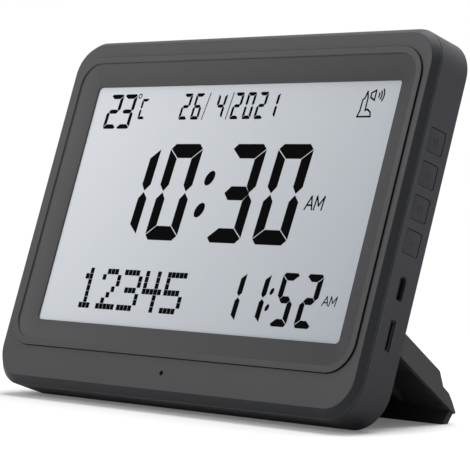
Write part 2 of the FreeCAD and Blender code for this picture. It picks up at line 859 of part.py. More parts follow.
def leg_outline(skin):
    """Side view points of the leg, drawn in by a skin thickness."""
    lean = 1 / math.tan(math.radians(leg_opening))
    top = leg_thickness - skin
    low = 0 if skin == 0 else -1
    step_end = leg_flat + leg_step_run
    shelf_end = step_end + leg_shelf_run
    taper_end = shelf_end + leg_taper_run
    toe_end = taper_end + leg_toe_run
    shelf = top - leg_step_drop
    taper = shelf - leg_shelf_drop
    pull = skin * 0.4
    points = [(skin * 1.1 - low * lean, low), (skin * 1.1 - top * lean, top)]
    points += [(leg_flat - pull, top), (step_end - pull, shelf), (shelf_end - pull, taper)]
    if skin == 0:
        points += [(taper_end, taper - leg_taper_drop)]
        points += [(toe_end, taper - leg_taper_drop - leg_toe_drop), (toe_end, 0)]
    else:
        points += [(taper_end - pull, taper - leg_taper_drop), (taper_end, low)]
    return points


def leg_prism(points, x0, x1):
    """Side view carried across the case from x0 to x1."""
    corners = [leg_point(run, height) for run, height in points]
    face = Part.Face(Part.makePolygon(corners + corners[:1]))
    prism = face.extrude(Vec(x1 - x0, 0, 0))
    prism.translate(Vec(x0, 0, 0))
    return prism


def leg():
    """Open-backed shell: outer skin, side walls, ribs and the knuckles for the pins."""
    half = leg_width / 2
    body = leg_prism(leg_outline(0), -half, half)
    knee = leg_point(leg_flat, leg_thickness)
    knee_edges = [e for e in body.Edges if e.BoundBox.XLength > half
                  and abs(e.BoundBox.YMin - knee.y) < 0.01 and abs(e.BoundBox.ZMin - knee.z) < 0.01]
    body = body.makeFillet(leg_skin, knee_edges)
    root = leg_point(0, 0)
    heel_edges = [e for e in body.Edges if e.BoundBox.XLength > half
                  and abs(e.BoundBox.YMin - root.y) < 0.01 and abs(e.BoundBox.ZMin - root.z) < 0.01]
    body = body.makeFillet(hinge_height, heel_edges)
    body = body.cut(leg_prism(leg_outline(leg_skin), -half + leg_side_wall, half - leg_side_wall))
    ribs = []
    slits = []
    bores = []
    recess = leg_rib_recess
    spaces = [side * hinge_x * share for side in (-1, 1) for share in (0.2, 0.6)]
    for x in spaces:
        rib = leg_prism(leg_outline(leg_skin * 0.9), x - leg_rib / 2, x + leg_rib / 2)
        under = block(x - leg_rib, x + leg_rib, case_depth - 1, case_depth + leg_gap + recess,
                      -leg_toe_run * 3, case_high)
        ribs.append(rib.cut(under))
    for side in (-1, 1):
        for out in (-1, 1):
            inner_x = side * hinge_x + out * (ear_width / 2 + ear_side_gap)
            outer_x = inner_x + out * knuckle_width
            x0 = min(inner_x, outer_x)
            x1 = max(inner_x, outer_x)
            knuckle = leg_prism(leg_outline(leg_skin * 0.9), x0, x1)
            under = block(x0 - 1, x1 + 1, case_depth - 2, case_depth + leg_gap,
                          -leg_toe_run * 3, case_high)
            ribs.append(knuckle.cut(under))
        x0 = side * hinge_x - ear_width / 2 - ear_side_gap
        slits.append(block(x0, x0 + ear_width + 2 * ear_side_gap, case_depth - 1,
                           hinge_y + ear_radius + ear_side_gap, hinge_z - ear_radius * 2,
                           hinge_z + leg_thickness))
        reach = pin_length() + 2 * pin_fit
        bore_radius = (pin_radius + pin_fit) / math.cos(math.pi / (2 * small_sides))
        corners = [Vec(side * hinge_x - reach / 2, hinge_y + point.x, hinge_z + point.z)
                   for point in ring_points(0, 0, bore_radius, 0, 2 * small_sides)]
        bores.append(Part.Face(Part.makePolygon(corners + corners[:1])).extrude(Vec(reach, 0, 0)))
    return body.fuse(ribs).cut(slits + bores).removeSplitter()


def pin_length():
    return ear_width + 2 * ear_side_gap + 2 * knuckle_width - 1


def leg_pins():
    """Two steel pins, one through each ear."""
    pins = [Part.makeCylinder(pin_radius, pin_length(), Vec(side * hinge_x - pin_length() / 2,
                              hinge_y, hinge_z), Vec(1, 0, 0)) for side in (-1, 1)]
    return Part.makeCompound(pins)


def leg_foot():
    """Rubber strip under the toe; its lower face lies on the table when the leg is open."""
    toe_end = leg_flat + leg_step_run + leg_shelf_run + leg_taper_run + leg_toe_run
    half = leg_width / 2 - foot_width_inset
    drop = leg_thickness * 2
    points = [(toe_end - foot_strip, 0), (toe_end, 0), (toe_end, -drop), (toe_end - foot_strip, -drop)]
    return leg_prism(points, -half, half)


def opened(shape):
    """Turn a piece of the folded leg about its pins to the open position."""
    shape = shape.copy()
    shape.rotate(Vec(0, hinge_y, hinge_z), Vec(1, 0, 0), leg_opening)
    return shape


def leaned(shape):
    """Lean a piece back and set it down on the table."""
    shape = shape.copy()
    shape.rotate(Vec(0, 0, 0), Vec(1, 0, 0), -lean_angle)
    shape.translate(Vec(0, -centre_shift, stand_drop))
    return shape


def cut_at_table(shape):
    """Take off what would reach below the table once the piece is leaned back."""
    reach = case_high * 2
    below = Part.makeBox(2 * reach, 2 * reach, reach, Vec(-reach, -reach, -reach))
    below.translate(Vec(0, centre_shift, -stand_drop))
    below.rotate(Vec(0, 0, 0), Vec(1, 0, 0), lean_angle)
    return shape.cut(below)


def case_screws():
    tip = front_back_y + 2
    return Part.makeCompound([screw(x, z, well_floor_y, screw_radius, screw_head_radius,
                                    screw_head_height, tip) for x, z in case_screw_places()])


def tray_screws():
    return Part.makeCompound([screw(x, z, tray_back_y, small_screw_radius, small_head_radius,
                                    small_head_height, front_back_y + 1)
                              for x, z in tray_ear_places()])


def front_driven_screw(x, z, seat_y):
    """Small screw driven from the front into a post on the back wall."""
    piece = screw(x, z, seat_y, small_screw_radius, small_head_radius, small_head_height,
                  seat_y - small_screw_grip)
    return piece.mirror(Vec(x, seat_y, z), Vec(0, 1, 0))


def board_screws():
    pieces = [front_driven_screw(x, z, main_board_y) for x, z in main_board_posts()]
    pieces += [front_driven_screw(x, z, port_board_y) for x, z in port_board_posts()]
    return Part.makeCompound(pieces)


# All pieces, in the upright frame
pieces = {
    "front_housing": front_housing(),
    "rear_housing": rear_housing(),
    "front_polarizer": display_layer(glass_half - 1, window_low - 2, glass_high - 1, front_back_y,
                                     polarizer_thickness),
    "lcd_front_glass": display_layer(glass_half, glass_low, glass_high, front_glass_y,
                                     glass_thickness),
    "lcd_rear_glass": display_layer(glass_half, glass_low + contact_ledge * 0.7, glass_high,
                                    rear_glass_y, glass_thickness),
    "rear_polarizer": display_layer(glass_half - 1, window_low - 2, glass_high - 1,
                                    rear_polarizer_y, polarizer_thickness),
    "diffuser": display_layer(glass_half, window_low - 2, glass_high, diffuser_y,
                              diffuser_thickness),
    "light_guide": block(-glass_half + led_bar_width, glass_half, guide_y, reflector_y,
                         window_low - 2, glass_high),
    "reflector": display_layer(glass_half, window_low - 2, glass_high, reflector_y,
                               reflector_thickness),
    "backlight_bar": block(-glass_half, -glass_half + led_bar_width, guide_y, reflector_y,
                           window_low, window_high),
    "lcd_tray": lcd_tray(),
    "tray_screws": tray_screws(),
    "lcd_ribbon": lcd_ribbon(),
    "ribbon_socket": ribbon_socket(),
    "main_board": main_board(),
    "board_parts": board_parts(),
    "board_screws": board_screws(),
    "key_board": key_board(),
    "key_switches": key_switches(),
    "port_board": port_board(),
    "usb_socket": usb_socket(),
    "card_socket": card_socket(),
    "speaker_frame": speaker_frame(),
    "speaker_cone": speaker_cone(),
    "speaker_magnet": speaker_magnet(),
    "speaker_gasket": speaker_gasket(),
    "battery_pack": battery_pack(),
    "battery_tape": battery_tape(),
    "sensor_board": sensor_board(),
    "light_sensor": light_sensor(),
    "thermometer_bead": thermometer_bead(),
    "case_screws": case_screws(),
    "leg_pins": leg_pins(),
    "leg": opened(leg()),
    "leg_foot": cut_at_table(opened(leg_foot())),
}
for index, height in enumerate(key_centres()):
    pieces["key_" + str(index + 1)] = side_key(height)

os.makedirs("parts", exist_ok=True)
for name, shape in pieces.items():
    leaned(shape).exportStep("parts/" + name + ".step")
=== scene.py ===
import json
import math

import bmesh
import bpy
from bpy.props import FloatProperty, FloatVectorProperty, PointerProperty
from mathutils import Matrix, Vector


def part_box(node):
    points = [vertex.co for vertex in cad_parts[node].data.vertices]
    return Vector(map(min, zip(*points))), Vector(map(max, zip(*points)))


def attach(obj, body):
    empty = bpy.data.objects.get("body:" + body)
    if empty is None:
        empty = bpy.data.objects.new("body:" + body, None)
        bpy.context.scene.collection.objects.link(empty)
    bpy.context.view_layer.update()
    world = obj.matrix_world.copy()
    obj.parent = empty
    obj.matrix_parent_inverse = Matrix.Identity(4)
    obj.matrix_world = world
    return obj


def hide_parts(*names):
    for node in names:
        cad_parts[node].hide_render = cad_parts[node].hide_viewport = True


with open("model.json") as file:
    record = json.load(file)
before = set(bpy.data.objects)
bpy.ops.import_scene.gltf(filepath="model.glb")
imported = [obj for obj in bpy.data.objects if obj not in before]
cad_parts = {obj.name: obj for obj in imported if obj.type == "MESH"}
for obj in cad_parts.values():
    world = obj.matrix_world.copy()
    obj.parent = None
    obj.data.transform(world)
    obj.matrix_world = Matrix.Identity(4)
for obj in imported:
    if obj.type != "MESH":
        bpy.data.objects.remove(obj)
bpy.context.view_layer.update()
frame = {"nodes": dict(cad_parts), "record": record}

bl_info = {
    "name": "Leaning display clock",
    "version": (1, 0, 0),
    "blender": (4, 5, 0),
    "location": "3D View > Sidebar > Clock",
    "description": "Dresses the packed clock: front moulding, display, keys, screws and finishes",
    "category": "Object",
}

# How deep in the case the record's bottom mount lies
MOUNT_DEPTH = 0.009

# Local axes of pieces drawn flat: x to the right, y up and z out of the surface they lie on
ON_FRONT = Matrix(((1, 0, 0, 0), (0, 0, -1, 0), (0, 1, 0, 0), (0, 0, 0, 1)))
ON_BACK = Matrix(((-1, 0, 0, 0), (0, 0, 1, 0), (0, 1, 0, 0), (0, 0, 0, 1)))
ON_SIDE = Matrix(((0, 0, 1, 0), (1, 0, 0, 0), (0, 1, 0, 0), (0, 0, 0, 1)))

# Lit bars of each numeral, named clockwise from the top, with g across the middle
LIT_BARS = {"0": "abcdef", "1": "bc", "2": "abdeg", "3": "abcdg", "4": "bcfg", "5": "acdfg",
            "6": "acdefg", "C": "adef"}

# Strokes of the letters A and M in a unit square
MORNING_STROKES = (((0, 0), (0.22, 1), (0.44, 0)), ((0.08, 0.33), (0.36, 0.33)),
                   ((0.55, 0), (0.55, 1), (0.775, 0.3), (1, 1), (1, 0)))

# Numerals of each row with their left edges, in metres from the middle of the case
TIME_ROW = (("1", -0.0602), ("0", -0.0350), ("3", 0.0019), ("0", 0.0278))
SECOND_ROW = (("1", 0.0204), ("1", 0.0338), ("5", 0.0489), ("2", 0.0618))
TEMPERATURE_ROW = (("2", -0.0796), ("3", -0.0709))
DEGREE_ROW = (("C", -0.0588),)
DATE_ROW = (("2", -0.0332), ("6", -0.0261), ("4", -0.0124), ("2", -0.0027), ("0", 0.0044),
            ("2", 0.0113), ("1", 0.0180))

# Low and high ends of the strokes in the date, and centres of the dots in the times
DATE_STROKES = ((-0.0192, -0.0171), (-0.0050, -0.0034))
TIME_DOTS = ((-0.00488, 0.09106), (-0.00622, 0.0777))
SECOND_DOTS = ((0.04608, 0.04647), (0.04549, 0.04003))

# Closed lines of the sound mark in a unit square, and the radii of its arcs
SOUND_LINES = (((0.0, 0.0), (0.62, 0.0), (0.58, 0.15), (0.42, 0.26), (0.32, 0.22),
                (0.32, 0.66), (0.25, 0.90), (0.18, 0.66), (0.10, 0.60), (0.08, 0.20),
                (0.0, 0.0)),
               ((0.44, 0.68), (0.64, 0.58), (0.64, 0.94), (0.44, 0.84), (0.44, 0.68)))
SOUND_ARCS = (0.14, 0.25, 0.36)

# Radius and height of each corner of a case screw, from its tip to the top of its head
SCREW_PROFILE = ((0, -0.0089), (0.0006, -0.0089), (0.0011, -0.0080), (0.0011, 0), (0.00195, 0),
                 (0.002, 0.0001), (0.002, 0.0009), (0.0017, 0.0014), (0.0010, 0.0017),
                 (0, 0.0018))

# Material places of the front moulding's other finishes: painted shade on the bevel and the sloped
# surround, a painted shadow on the rim's outer step and a painted highlight on the bevel's outer
# edge; its housing plastic, with painted shade towards the table, has place 0
BEVEL_PAINTED_SHADE, RIM_STEP_PAINTED_SHADOW, SURROUND_PAINTED_SHADE, EDGE_PAINTED_HIGHLIGHT = 1, 2, 3, 4

# Angle past which an edge is shaded sharp, and distance under which corners are one
SHARP_ANGLE = math.radians(30)
SAME_PLACE = 1e-7

# Almost a full turn, so that a drawn ring stays one strip
RING_TURN = math.tau * 0.999

# Dots of the plain numerals in the dot field, five across and seven down
LIT_DOTS = {
    "1": ("..#..", ".##..", "..#..", "..#..", "..#..", "..#..", ".###."),
    "2": (".###.", "#...#", "....#", "...#.", "..#..", ".#...", "#####"),
    "3": ("####.", "....#", "....#", ".###.", "....#", "....#", "####."),
    "4": ("#..#.", "#..#.", "#..#.", "#####", "...#.", "...#.", "...#."),
    "5": ("#####", "#....", "#....", "####.", "....#", "....#", "####."),
}

# Finishes with colours of their own: nodes, name, colour, roughness and other values
PLAIN_FINISHES = (
    (("usb_socket", "card_socket"), "Socket metal", (0.012, 0.012, 0.013), 0.6,
     {"drift": 0.3, "drift_size": 300.0, "grain_size": 3000.0, "grain_depth": 0.000008,
      "Specular_IOR_Level": 0.2}),
    (("board_parts", "key_switches", "ribbon_socket", "thermometer_bead"), "Chip resin",
     (0.016, 0.016, 0.018), 0.55, {"drift": 0.25, "drift_size": 240.0, "grain_size": 2200.0}),
    (("lcd_front_glass", "lcd_rear_glass", "light_guide", "light_sensor"), "Clear sheet",
     (0.86, 0.89, 0.92), 0.06,
     {"drift": 0.04, "grain_size": 200.0, "grain_depth": 0.000004, "spread": 0.03,
      "Transmission_Weight": 0.85, "IOR": 1.5}),
    (("rear_polarizer",), "Grey film", (0.30, 0.33, 0.36), 0.2,
     {"drift": 0.06, "grain_size": 900.0, "grain_depth": 0.000004,
      "Transmission_Weight": 0.4}),
    (("diffuser", "reflector", "backlight_bar"), "White sheet", (0.80, 0.80, 0.78), 0.5,
     {"drift": 0.05, "grain_size": 2500.0, "grain_depth": 0.00001}),
    (("lcd_tray",), "Tray plastic", (0.62, 0.62, 0.60), 0.5,
     {"drift": 0.08, "grain_size": 1500.0}),
    (("lcd_ribbon",), "Ribbon film", (0.48, 0.24, 0.05), 0.35,
     {"drift": 0.2, "drift_size": 90.0, "grain_size": 1800.0, "grain_depth": 0.000006}),
    (("speaker_cone",), "Cone paper", (0.03, 0.03, 0.03), 0.85,
     {"drift": 0.35, "drift_size": 400.0, "grain_size": 1600.0, "grain_depth": 0.00006}),
    (("speaker_magnet",), "Magnet ferrite", (0.06, 0.06, 0.065), 0.5,
     {"drift": 0.3, "drift_size": 320.0, "grain_size": 2400.0, "grain_depth": 0.00002}),
    (("speaker_gasket", "battery_tape"), "Foam tape", (0.05, 0.05, 0.05), 0.9,
     {"drift": 0.35, "drift_size": 500.0, "grain_size": 700.0, "grain_depth": 0.0001}),
    (("battery_pack",), "Cell wrap", (0.42, 0.43, 0.45), 0.38,
     {"drift": 0.1, "drift_size": 60.0, "grain_size": 500.0, "grain_depth": 0.00003,
      "Metallic": 0.6}),
)


# Sizes and colours

def metres(name, description, default):
    """Property for a size in metres."""
    return FloatProperty(name=name, description=description, default=default, precision=5,
                         unit="LENGTH")


def number(name, description, default):
    """Property for a plain number."""
    return FloatProperty(name=name, description=description, default=default)


def tint(name, description, default):
    """Property for a colour in linear values."""
    return FloatVectorProperty(name=name, description=description, default=default,
                               subtype="COLOR")


class ClockCase(bpy.types.PropertyGroup):
    """Sizes of the front moulding, in the upright case."""
    half_width: metres("Half width", "Half the width of the case", 0.105)
    height: metres("Height", "Height of the case along its face", 0.1507)
    corner: metres("Corner", "Radius of the case corners", 0.015)
    bevel_side: metres("Side bevel", "Width of the bevel at the sides", 0.00245)
    bevel_low: metres("Low bevel", "Width of the bevel at the bottom", 0.0034)
    bevel_high: metres("High bevel", "Width of the bevel at the top", 0.00255)
    bevel_depth: metres("Bevel depth", "Depth of the bevel", 0.0027)
    rim_side: metres("Rim side", "Half width over the raised rim", 0.09955)
    rim_low: metres("Rim low", "Height of the rim's lower outer edge", 0.0163)
    rim_high: metres("Rim high", "Height of the rim's upper outer edge", 0.1429)
    rim_band: metres("Rim band", "Width of the raised rim", 0.0029)
    rim_rise: metres("Rim rise", "How far the rim stands off the face", 0.0008)
    rim_draft: number("Rim draft", "Slope of the rim's walls per rise", 0.12)
    rim_corner: metres("Rim corner", "Outer corner radius of the rim", 0.0125)
    window_side: metres("Window side", "Half width of the window", 0.08785)
    window_low: metres("Window low", "Height of the window's lower edge", 0.0282)
    window_high: metres("Window high", "Height of the window's upper edge", 0.1305)
    window_corner: metres("Window corner", "Corner radius of the window", 0.0018)
    window_depth: metres("Window depth", "Depth of the sloped surround", 0.00236)
    lip: metres("Lip", "Thickness of the window's lip", 0.0007)
    tongue_gap: metres("Tongue gap", "Side band to tongue, wall included", 0.00215)
    tongue: metres("Tongue", "Thickness of the tongue", 0.0015)
    tongue_end: metres("Tongue end", "Depth that the tongue reaches", 0.0055)
    softening: metres("Softening", "Rounding of the moulded edges", 0.00022)
    pinhole_x: metres("Pinhole place", "Sideways place of the pinhole", -0.0005)
    pinhole_height: metres("Pinhole height", "Height of the pinhole", 0.0103)
    pinhole: metres("Pinhole", "Radius of the light sensor's pinhole", 0.001)


class ClockKeys(bpy.types.PropertyGroup):
    """Sizes of the four side keys."""
    pitch: metres("Pitch", "Distance from key to key", 0.013)
    lowest: metres("Lowest", "Height of the lowest key's centre", 0.0696)
    depth_place: metres("Depth place", "Depth of the keys' centre line", 0.0099)
    width: metres("Width", "Size of a key along the case depth", 0.0083)
    height: metres("Height", "Size of a key along the case height", 0.0091)
    corner: metres("Corner", "Corner radius of a key", 0.0009)
    flange: metres("Flange", "Lip round a key inside the wall", 0.0012)
    flange_thickness: metres("Flange thickness", "Thickness of the lip round a key", 0.001)
    edge: metres("Edge", "Rounding of a key's front edge", 0.00028)
    mark: metres("Mark", "How far a key's mark stands off its face", 0.0001)
    mark_reach: metres("Mark reach", "Half the width of a key's mark", 0.0016)


class ClockScrews(bpy.types.PropertyGroup):
    """Places and recesses of the eight case screws."""
    seat: metres("Seat", "Depth at which the heads sit", 0.014)
    side_inset: metres("Side inset", "Outer screws to the side of the case", 0.0075)
    outer_inset: metres("Outer inset", "Outer screws to the bottom or the top", 0.012)
    inner_place: metres("Inner place", "Inner screws to the middle", 0.045)
    inner_inset: metres("Inner inset", "Inner screws to the bottom or the top", 0.010)
    recess_length: metres("Recess length", "Length of an arm of the cross recess", 0.0022)
    recess_width: metres("Recess width", "Width of an arm of the cross recess", 0.00048)
    recess_floor: metres("Recess floor", "Height of the recess's floor over the seat", 0.0008)
    recess_tool: metres("Recess tool", "Height of the tool that cuts the recess", 0.0016)


class ClockDisplay(bpy.types.PropertyGroup):
    """Places and sizes of the display's numerals."""
    depth: metres("Depth", "Depth of the numerals in the case", 0.00304)
    ink: metres("Ink", "Thickness of the numerals", 0.00002)
    slant: number("Slant", "Sideways lean of the numerals per height", 0.065)
    split: metres("Split", "Light gap between the bars of a numeral", 0.00028)
    time_low: metres("Time place", "Height of the large time's foot", 0.0646)
    time_height: metres("Time height", "Height of the large numerals", 0.0408)
    second_low: metres("Second place", "Height of the small time's foot", 0.0330)
    second_height: metres("Second height", "Height of the small time", 0.0211)
    dot_low: metres("Dot place", "Height of the dot field's foot", 0.0346)
    dot_left: metres("Dot left", "Left edge of the dot field", -0.0671)
    dot_cell: metres("Dot cell", "Distance from numeral to numeral in the dot field", 0.0131)
    dot_pitch: metres("Dot pitch", "Distance from dot to dot, upwards", 0.00246)
    dot_step: metres("Dot step", "Distance from dot to dot, sideways", 0.00232)
    mark_left: metres("Sound mark left", "Left edge of the sound mark", 0.0680)
    mark_low: metres("Sound mark place", "Height of the sound mark's foot", 0.1163)
    mark_size: metres("Sound mark size", "Size of the sound mark", 0.0112)


class ClockFinish(bpy.types.PropertyGroup):
    """Colours and grain of the finishes, some of them with painted light and shade."""
    housing: tint("Housing", "Moulded housing plastic", (0.050, 0.050, 0.053))
    # Painted shade: the housing colour darkens to this one towards the table
    housing_painted_shade: tint("Housing foot", "Housing near the table", (0.030, 0.030, 0.032))
    rear: tint("Rear shell", "Side band and back", (0.036, 0.037, 0.043))
    # Painted shade: the rear shell darkens to this one by the table
    rear_painted_shade: tint("Rear shell foot", "Rear shell by the table", (0.006, 0.006, 0.008))
    # Painted highlight on the edge where the bevel meets the side
    edge: tint("Edge", "Painted highlight on the bevel's edge", (0.11, 0.115, 0.125))
    # Painted shade: the sloped surround darkens to this one towards the lower right
    surround: tint("Surround", "Dark end of the sloped surround", (0.016, 0.016, 0.018))
    # Painted shade: the bevel is housing plastic, drawn this much darker
    bevel: tint("Bevel", "Bevel round the face", (0.009, 0.010, 0.013))
    # Painted shadow on the outer step of the raised rim
    seam: tint("Seam", "Outer wall of the raised rim", (0.004, 0.004, 0.004))
    key: tint("Keys", "Key caps", (0.029, 0.030, 0.034))
    mark: tint("Key marks", "Marks on the keys", (0.007, 0.007, 0.008))
    rubber: tint("Rubber", "Foot strip under the leg", (0.008, 0.008, 0.009))
    # Painted light: the display face is this bright at the upper left and dims to the next colour
    # at the lower right
    display_painted_light: tint("Display bright", "Display by its lamp bar", (0.62, 0.645, 0.675))
    display_painted_dim: tint("Display dim", "Display far from its lamp bar", (0.325, 0.35, 0.385))
    ink: tint("Numerals", "Dark numerals of the display", (0.0008, 0.0008, 0.0010))
    steel: tint("Steel", "Screws, pins and speaker frame", (0.45, 0.45, 0.46))
    board: tint("Board", "Circuit boards", (0.015, 0.12, 0.045))
    grain: metres("Grain", "Depth of the moulded grain", 0.00003)


class ClockStage(bpy.types.PropertyGroup):
    """Camera and light."""
    camera_place: FloatVectorProperty(name="Camera", description="Place of the camera",
                                      subtype="TRANSLATION", unit="LENGTH",
                                      default=(0.71309, -0.65591, 0.10477))
    camera_aim: FloatVectorProperty(name="Aim", description="Direction that the camera looks in",
                                    subtype="DIRECTION", default=(-0.73145, 0.68087, -0.03760))
    lens: number("Lens", "Focal length in millimetres", 187.8)
    ambient: number("Ambient", "Strength of the surrounding light", 0.30)
    key_power: FloatProperty(name="Key lamp", description="Power of the large lamp above",
                             default=17.0, subtype="POWER")
    fill_power: FloatProperty(name="Fill lamp", description="Power of the front lamp",
                              default=13.0, subtype="POWER")
    floor_glow: number("Floor glow", "Floor's own white to the camera", 0.10)


# Shaping helpers

def lean():
    """Matrix that leans an upright piece back and sets it on the table with the case."""
    mount = next(m for m in frame["record"]["mounts"] if m["name"] == "case_bottom")
    back, down = -mount["axis"][1], -mount["axis"][2]
    turn = Matrix(((1, 0, 0), (0, down, back), (0, -back, down)))
    start = Vector(mount["pos_m"]) - turn @ Vector((0, MOUNT_DEPTH, 0))
    return Matrix.Translation(start) @ turn.to_4x4()


def shade(mesh):
    """Smooth shading with sharp edges kept."""
    mesh.polygons.foreach_set("use_smooth", [True] * len(mesh.polygons))
    mesh.set_sharp_from_angle(angle=SHARP_ANGLE)


def new_piece(bm, name, body, finish, place=None):
    """Turn a drawn piece into an object that rides on a body; place carries it into the case."""
    if not bm.faces:
        raise RuntimeError(name + " came out empty")
    bmesh.ops.remove_doubles(bm, verts=bm.verts, dist=SAME_PLACE)
    bmesh.ops.recalc_face_normals(bm, faces=bm.faces)
    whole = lean() @ place if place else lean()
    bmesh.ops.transform(bm, matrix=whole, verts=bm.verts)
    mesh = bpy.data.meshes.new(name)
    bm.to_mesh(mesh)
    bm.free()
    shade(mesh)
    mesh.materials.append(finish)
    piece = bpy.data.objects.new(name, mesh)
    bpy.context.scene.collection.objects.link(piece)
    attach(piece, body)
    return piece


def rounded_face(bm, place, width, height, corner, steps):
    """Flat face of a rounded rectangle."""
    corners = bmesh.ops.create_grid(bm, x_segments=1, y_segments=1, size=0.5)["verts"]
    bmesh.ops.transform(bm, matrix=place @ Matrix.Diagonal((width, height, 1, 1)), verts=corners)
    rounded = bmesh.ops.bevel(bm, geom=corners, offset=corner, offset_type="OFFSET",
                              segments=steps, profile=0.5, affect="VERTICES", material=-1)
    return rounded["verts"][0].link_faces[0]


def outline_loop(bm, half, low, high, corner, depth):
    """Edge loop of a rounded rectangle at one depth of the upright case."""
    place = (Matrix.Translation((0, depth, low + (high - low) / 2))
             @ Matrix.Rotation(math.pi / 2, 4, "X"))
    face = rounded_face(bm, place, 2 * half, high - low, corner, steps=14)
    edges = list(face.edges)
    bmesh.ops.delete(bm, geom=[face], context="FACES_ONLY")
    return edges


def raise_faces(bm, faces, height):
    """Extrude flat faces upwards and return the raised corners."""
    raised = bmesh.ops.extrude_face_region(bm, geom=faces)["geom"]
    verts = [v for v in raised if isinstance(v, bmesh.types.BMVert)]
    bmesh.ops.translate(bm, vec=(0, 0, height), verts=verts)
    return verts


def plate(bm, outline, high):
    """Flat plate with the outline's corners, as high as given."""
    face = bm.faces.new([bm.verts.new((x, y, 0)) for x, y in outline])
    raise_faces(bm, [face], high)


def disc(bm, x, y, across, tall, high, slant, steps=28):
    """Oval plate, leaned sideways like the numerals."""
    corners = bmesh.ops.create_circle(bm, cap_ends=True, segments=steps, radius=1.0)["verts"]
    shape = Matrix(((across, slant * tall, 0, x), (0, tall, 0, y), (0, 0, 1, 0), (0, 0, 0, 1)))
    bmesh.ops.transform(bm, matrix=shape, verts=corners)
    raise_faces(bm, [corners[0].link_faces[0]], high)


def stroke(bm, points, width, high, overlap=0.35):
    """Thin flat line through the points; its parts overlap by a share of its width."""
    for (x1, y1), (x2, y2) in zip(points, points[1:]):
        along = Vector((x2 - x1, y2 - y1)).normalized() * width * overlap
        across = Vector((y1 - y2, x2 - x1)).normalized() * width / 2
        x1, y1, x2, y2 = x1 - along.x, y1 - along.y, x2 + along.x, y2 + along.y
        plate(bm, [(x1 - across.x, y1 - across.y), (x2 - across.x, y2 - across.y),
                   (x2 + across.x, y2 + across.y), (x1 + across.x, y1 + across.y)], high)


def curved_strip(bm, x, y, radius, width, start, sweep, high, steps=14):
    """Part of a flat ring round a point."""
    first = Vector((math.cos(start), math.sin(start), 0))
    centre = Vector((x, y, 0))
    ends = [bm.verts.new(centre + first * (radius - width / 2)),
            bm.verts.new(centre + first * (radius + width / 2))]
    edge = bm.edges.new(ends)
    before = set(bm.faces)
    bmesh.ops.spin(bm, geom=[edge, *ends], cent=centre, axis=(0, 0, 1), angle=sweep,
                   steps=steps, use_merge=False)
    faces = [f for f in bm.faces if f not in before]
    raise_faces(bm, faces, high)


def soften(bm, edges, width, steps):
    """Round the given edges a little."""
    edges = [e for e in edges if e.is_valid]
    rounded = bmesh.ops.bevel(bm, geom=edges, offset=width, offset_type="OFFSET",
                              segments=steps, profile=0.5, affect="EDGES", material=-1,
                              clamp_overlap=True)
    return rounded["faces"]


def cut_away(piece, tool):
    """Take a closed tool out of a piece and drop the tool."""
    change = piece.modifiers.new("Cut", "BOOLEAN")
    change.operation = "DIFFERENCE"
    change.solver = "EXACT"
    change.object = tool
    result = bpy.data.meshes.new_from_object(
        piece.evaluated_get(bpy.context.evaluated_depsgraph_get()))
    piece.modifiers.clear()
    piece.data = result
    bpy.data.objects.remove(tool)


def loose_object(bm, name):
    """Helper object that is only used as a cutting tool or a pattern."""
    mesh = bpy.data.meshes.new(name)
    bm.to_mesh(mesh)
    bm.free()
    made = bpy.data.objects.new(name, mesh)
    bpy.context.scene.collection.objects.link(made)
    return made


# Finishes

def fill(made, **values):
    """Set the inputs of a node by name, with an underscore for a space."""
    for name, value in values.items():
        made.inputs[name.replace("_", " ")].default_value = value
    return made


def node(tree, kind, x, y, **values):
    """Add a node of a kind of shader node and set its inputs."""
    made = tree.nodes.new("ShaderNode" + kind)
    made.location = (x, y)
    return fill(made, **values)


def wire(tree, wires):
    """Link sockets, each link given as node, output, node and input."""
    for source, leaving, target, entering in wires:
        tree.links.new(source.outputs[leaving], target.inputs[entering])


def new_group(name, sockets):
    """Node group with the given sockets, and its input and output nodes."""
    group = bpy.data.node_groups.new(name, "ShaderNodeTree")
    for label, way, kind, start in sockets:
        socket = group.interface.new_socket(name=label, in_out=way, socket_type="NodeSocket" + kind)
        if start is not None:
            socket.default_value = start
    leave = group.nodes.new("NodeGroupOutput")
    leave.location = (900, 0)
    return group, group.nodes.new("NodeGroupInput"), leave


def maths(tree, operation, x, y):
    """Math node for one operation."""
    made = node(tree, "Math", x, y)
    made.operation = operation
    return made


def moulded_grain():
    """Group: fine pebbled grain of a moulded surface, as a height and as a roughness."""
    found = bpy.data.node_groups.get("Moulded grain")
    if found:
        return found
    sockets = (("Vector", "INPUT", "Vector", None),
               ("Size", "INPUT", "Float", 1400.0),
               ("Roughness", "INPUT", "Float", 0.5),
               ("Spread", "INPUT", "Float", 0.08),
               ("Height", "OUTPUT", "Float", None),
               ("Roughness", "OUTPUT", "Float", None))
    group, enter, leave = new_group("Moulded grain", sockets)
    pebbles = node(group, "TexVoronoi", 200, 100)
    pebbles.feature = "SMOOTH_F1"
    fine = node(group, "TexNoise", 200, -160, Detail=4.0)
    broad = node(group, "TexNoise", 200, -420, Scale=38.0, Detail=3.0)
    both = maths(group, "MULTIPLY_ADD", 420, 40)
    both.inputs[1].default_value = 0.6
    dull = maths(group, "MULTIPLY_ADD", 420, -300)
    centre = maths(group, "SUBTRACT", 300, -560)
    centre.inputs[1].default_value = 0.5
    wire(group, (
        (enter, "Vector", pebbles, "Vector"),
        (enter, "Vector", fine, "Vector"),
        (enter, "Vector", broad, "Vector"),
        (enter, "Size", pebbles, "Scale"),
        (enter, "Size", fine, "Scale"),
        (pebbles, "Distance", both, 0),
        (fine, "Fac", both, 2),
        (both, 0, leave, "Height"),
        (broad, "Fac", centre, 0),
        (centre, 0, dull, 0),
        (enter, "Spread", dull, 1),
        (enter, "Roughness", dull, 2),
        (dull, 0, leave, "Roughness"),
    ))
    return group


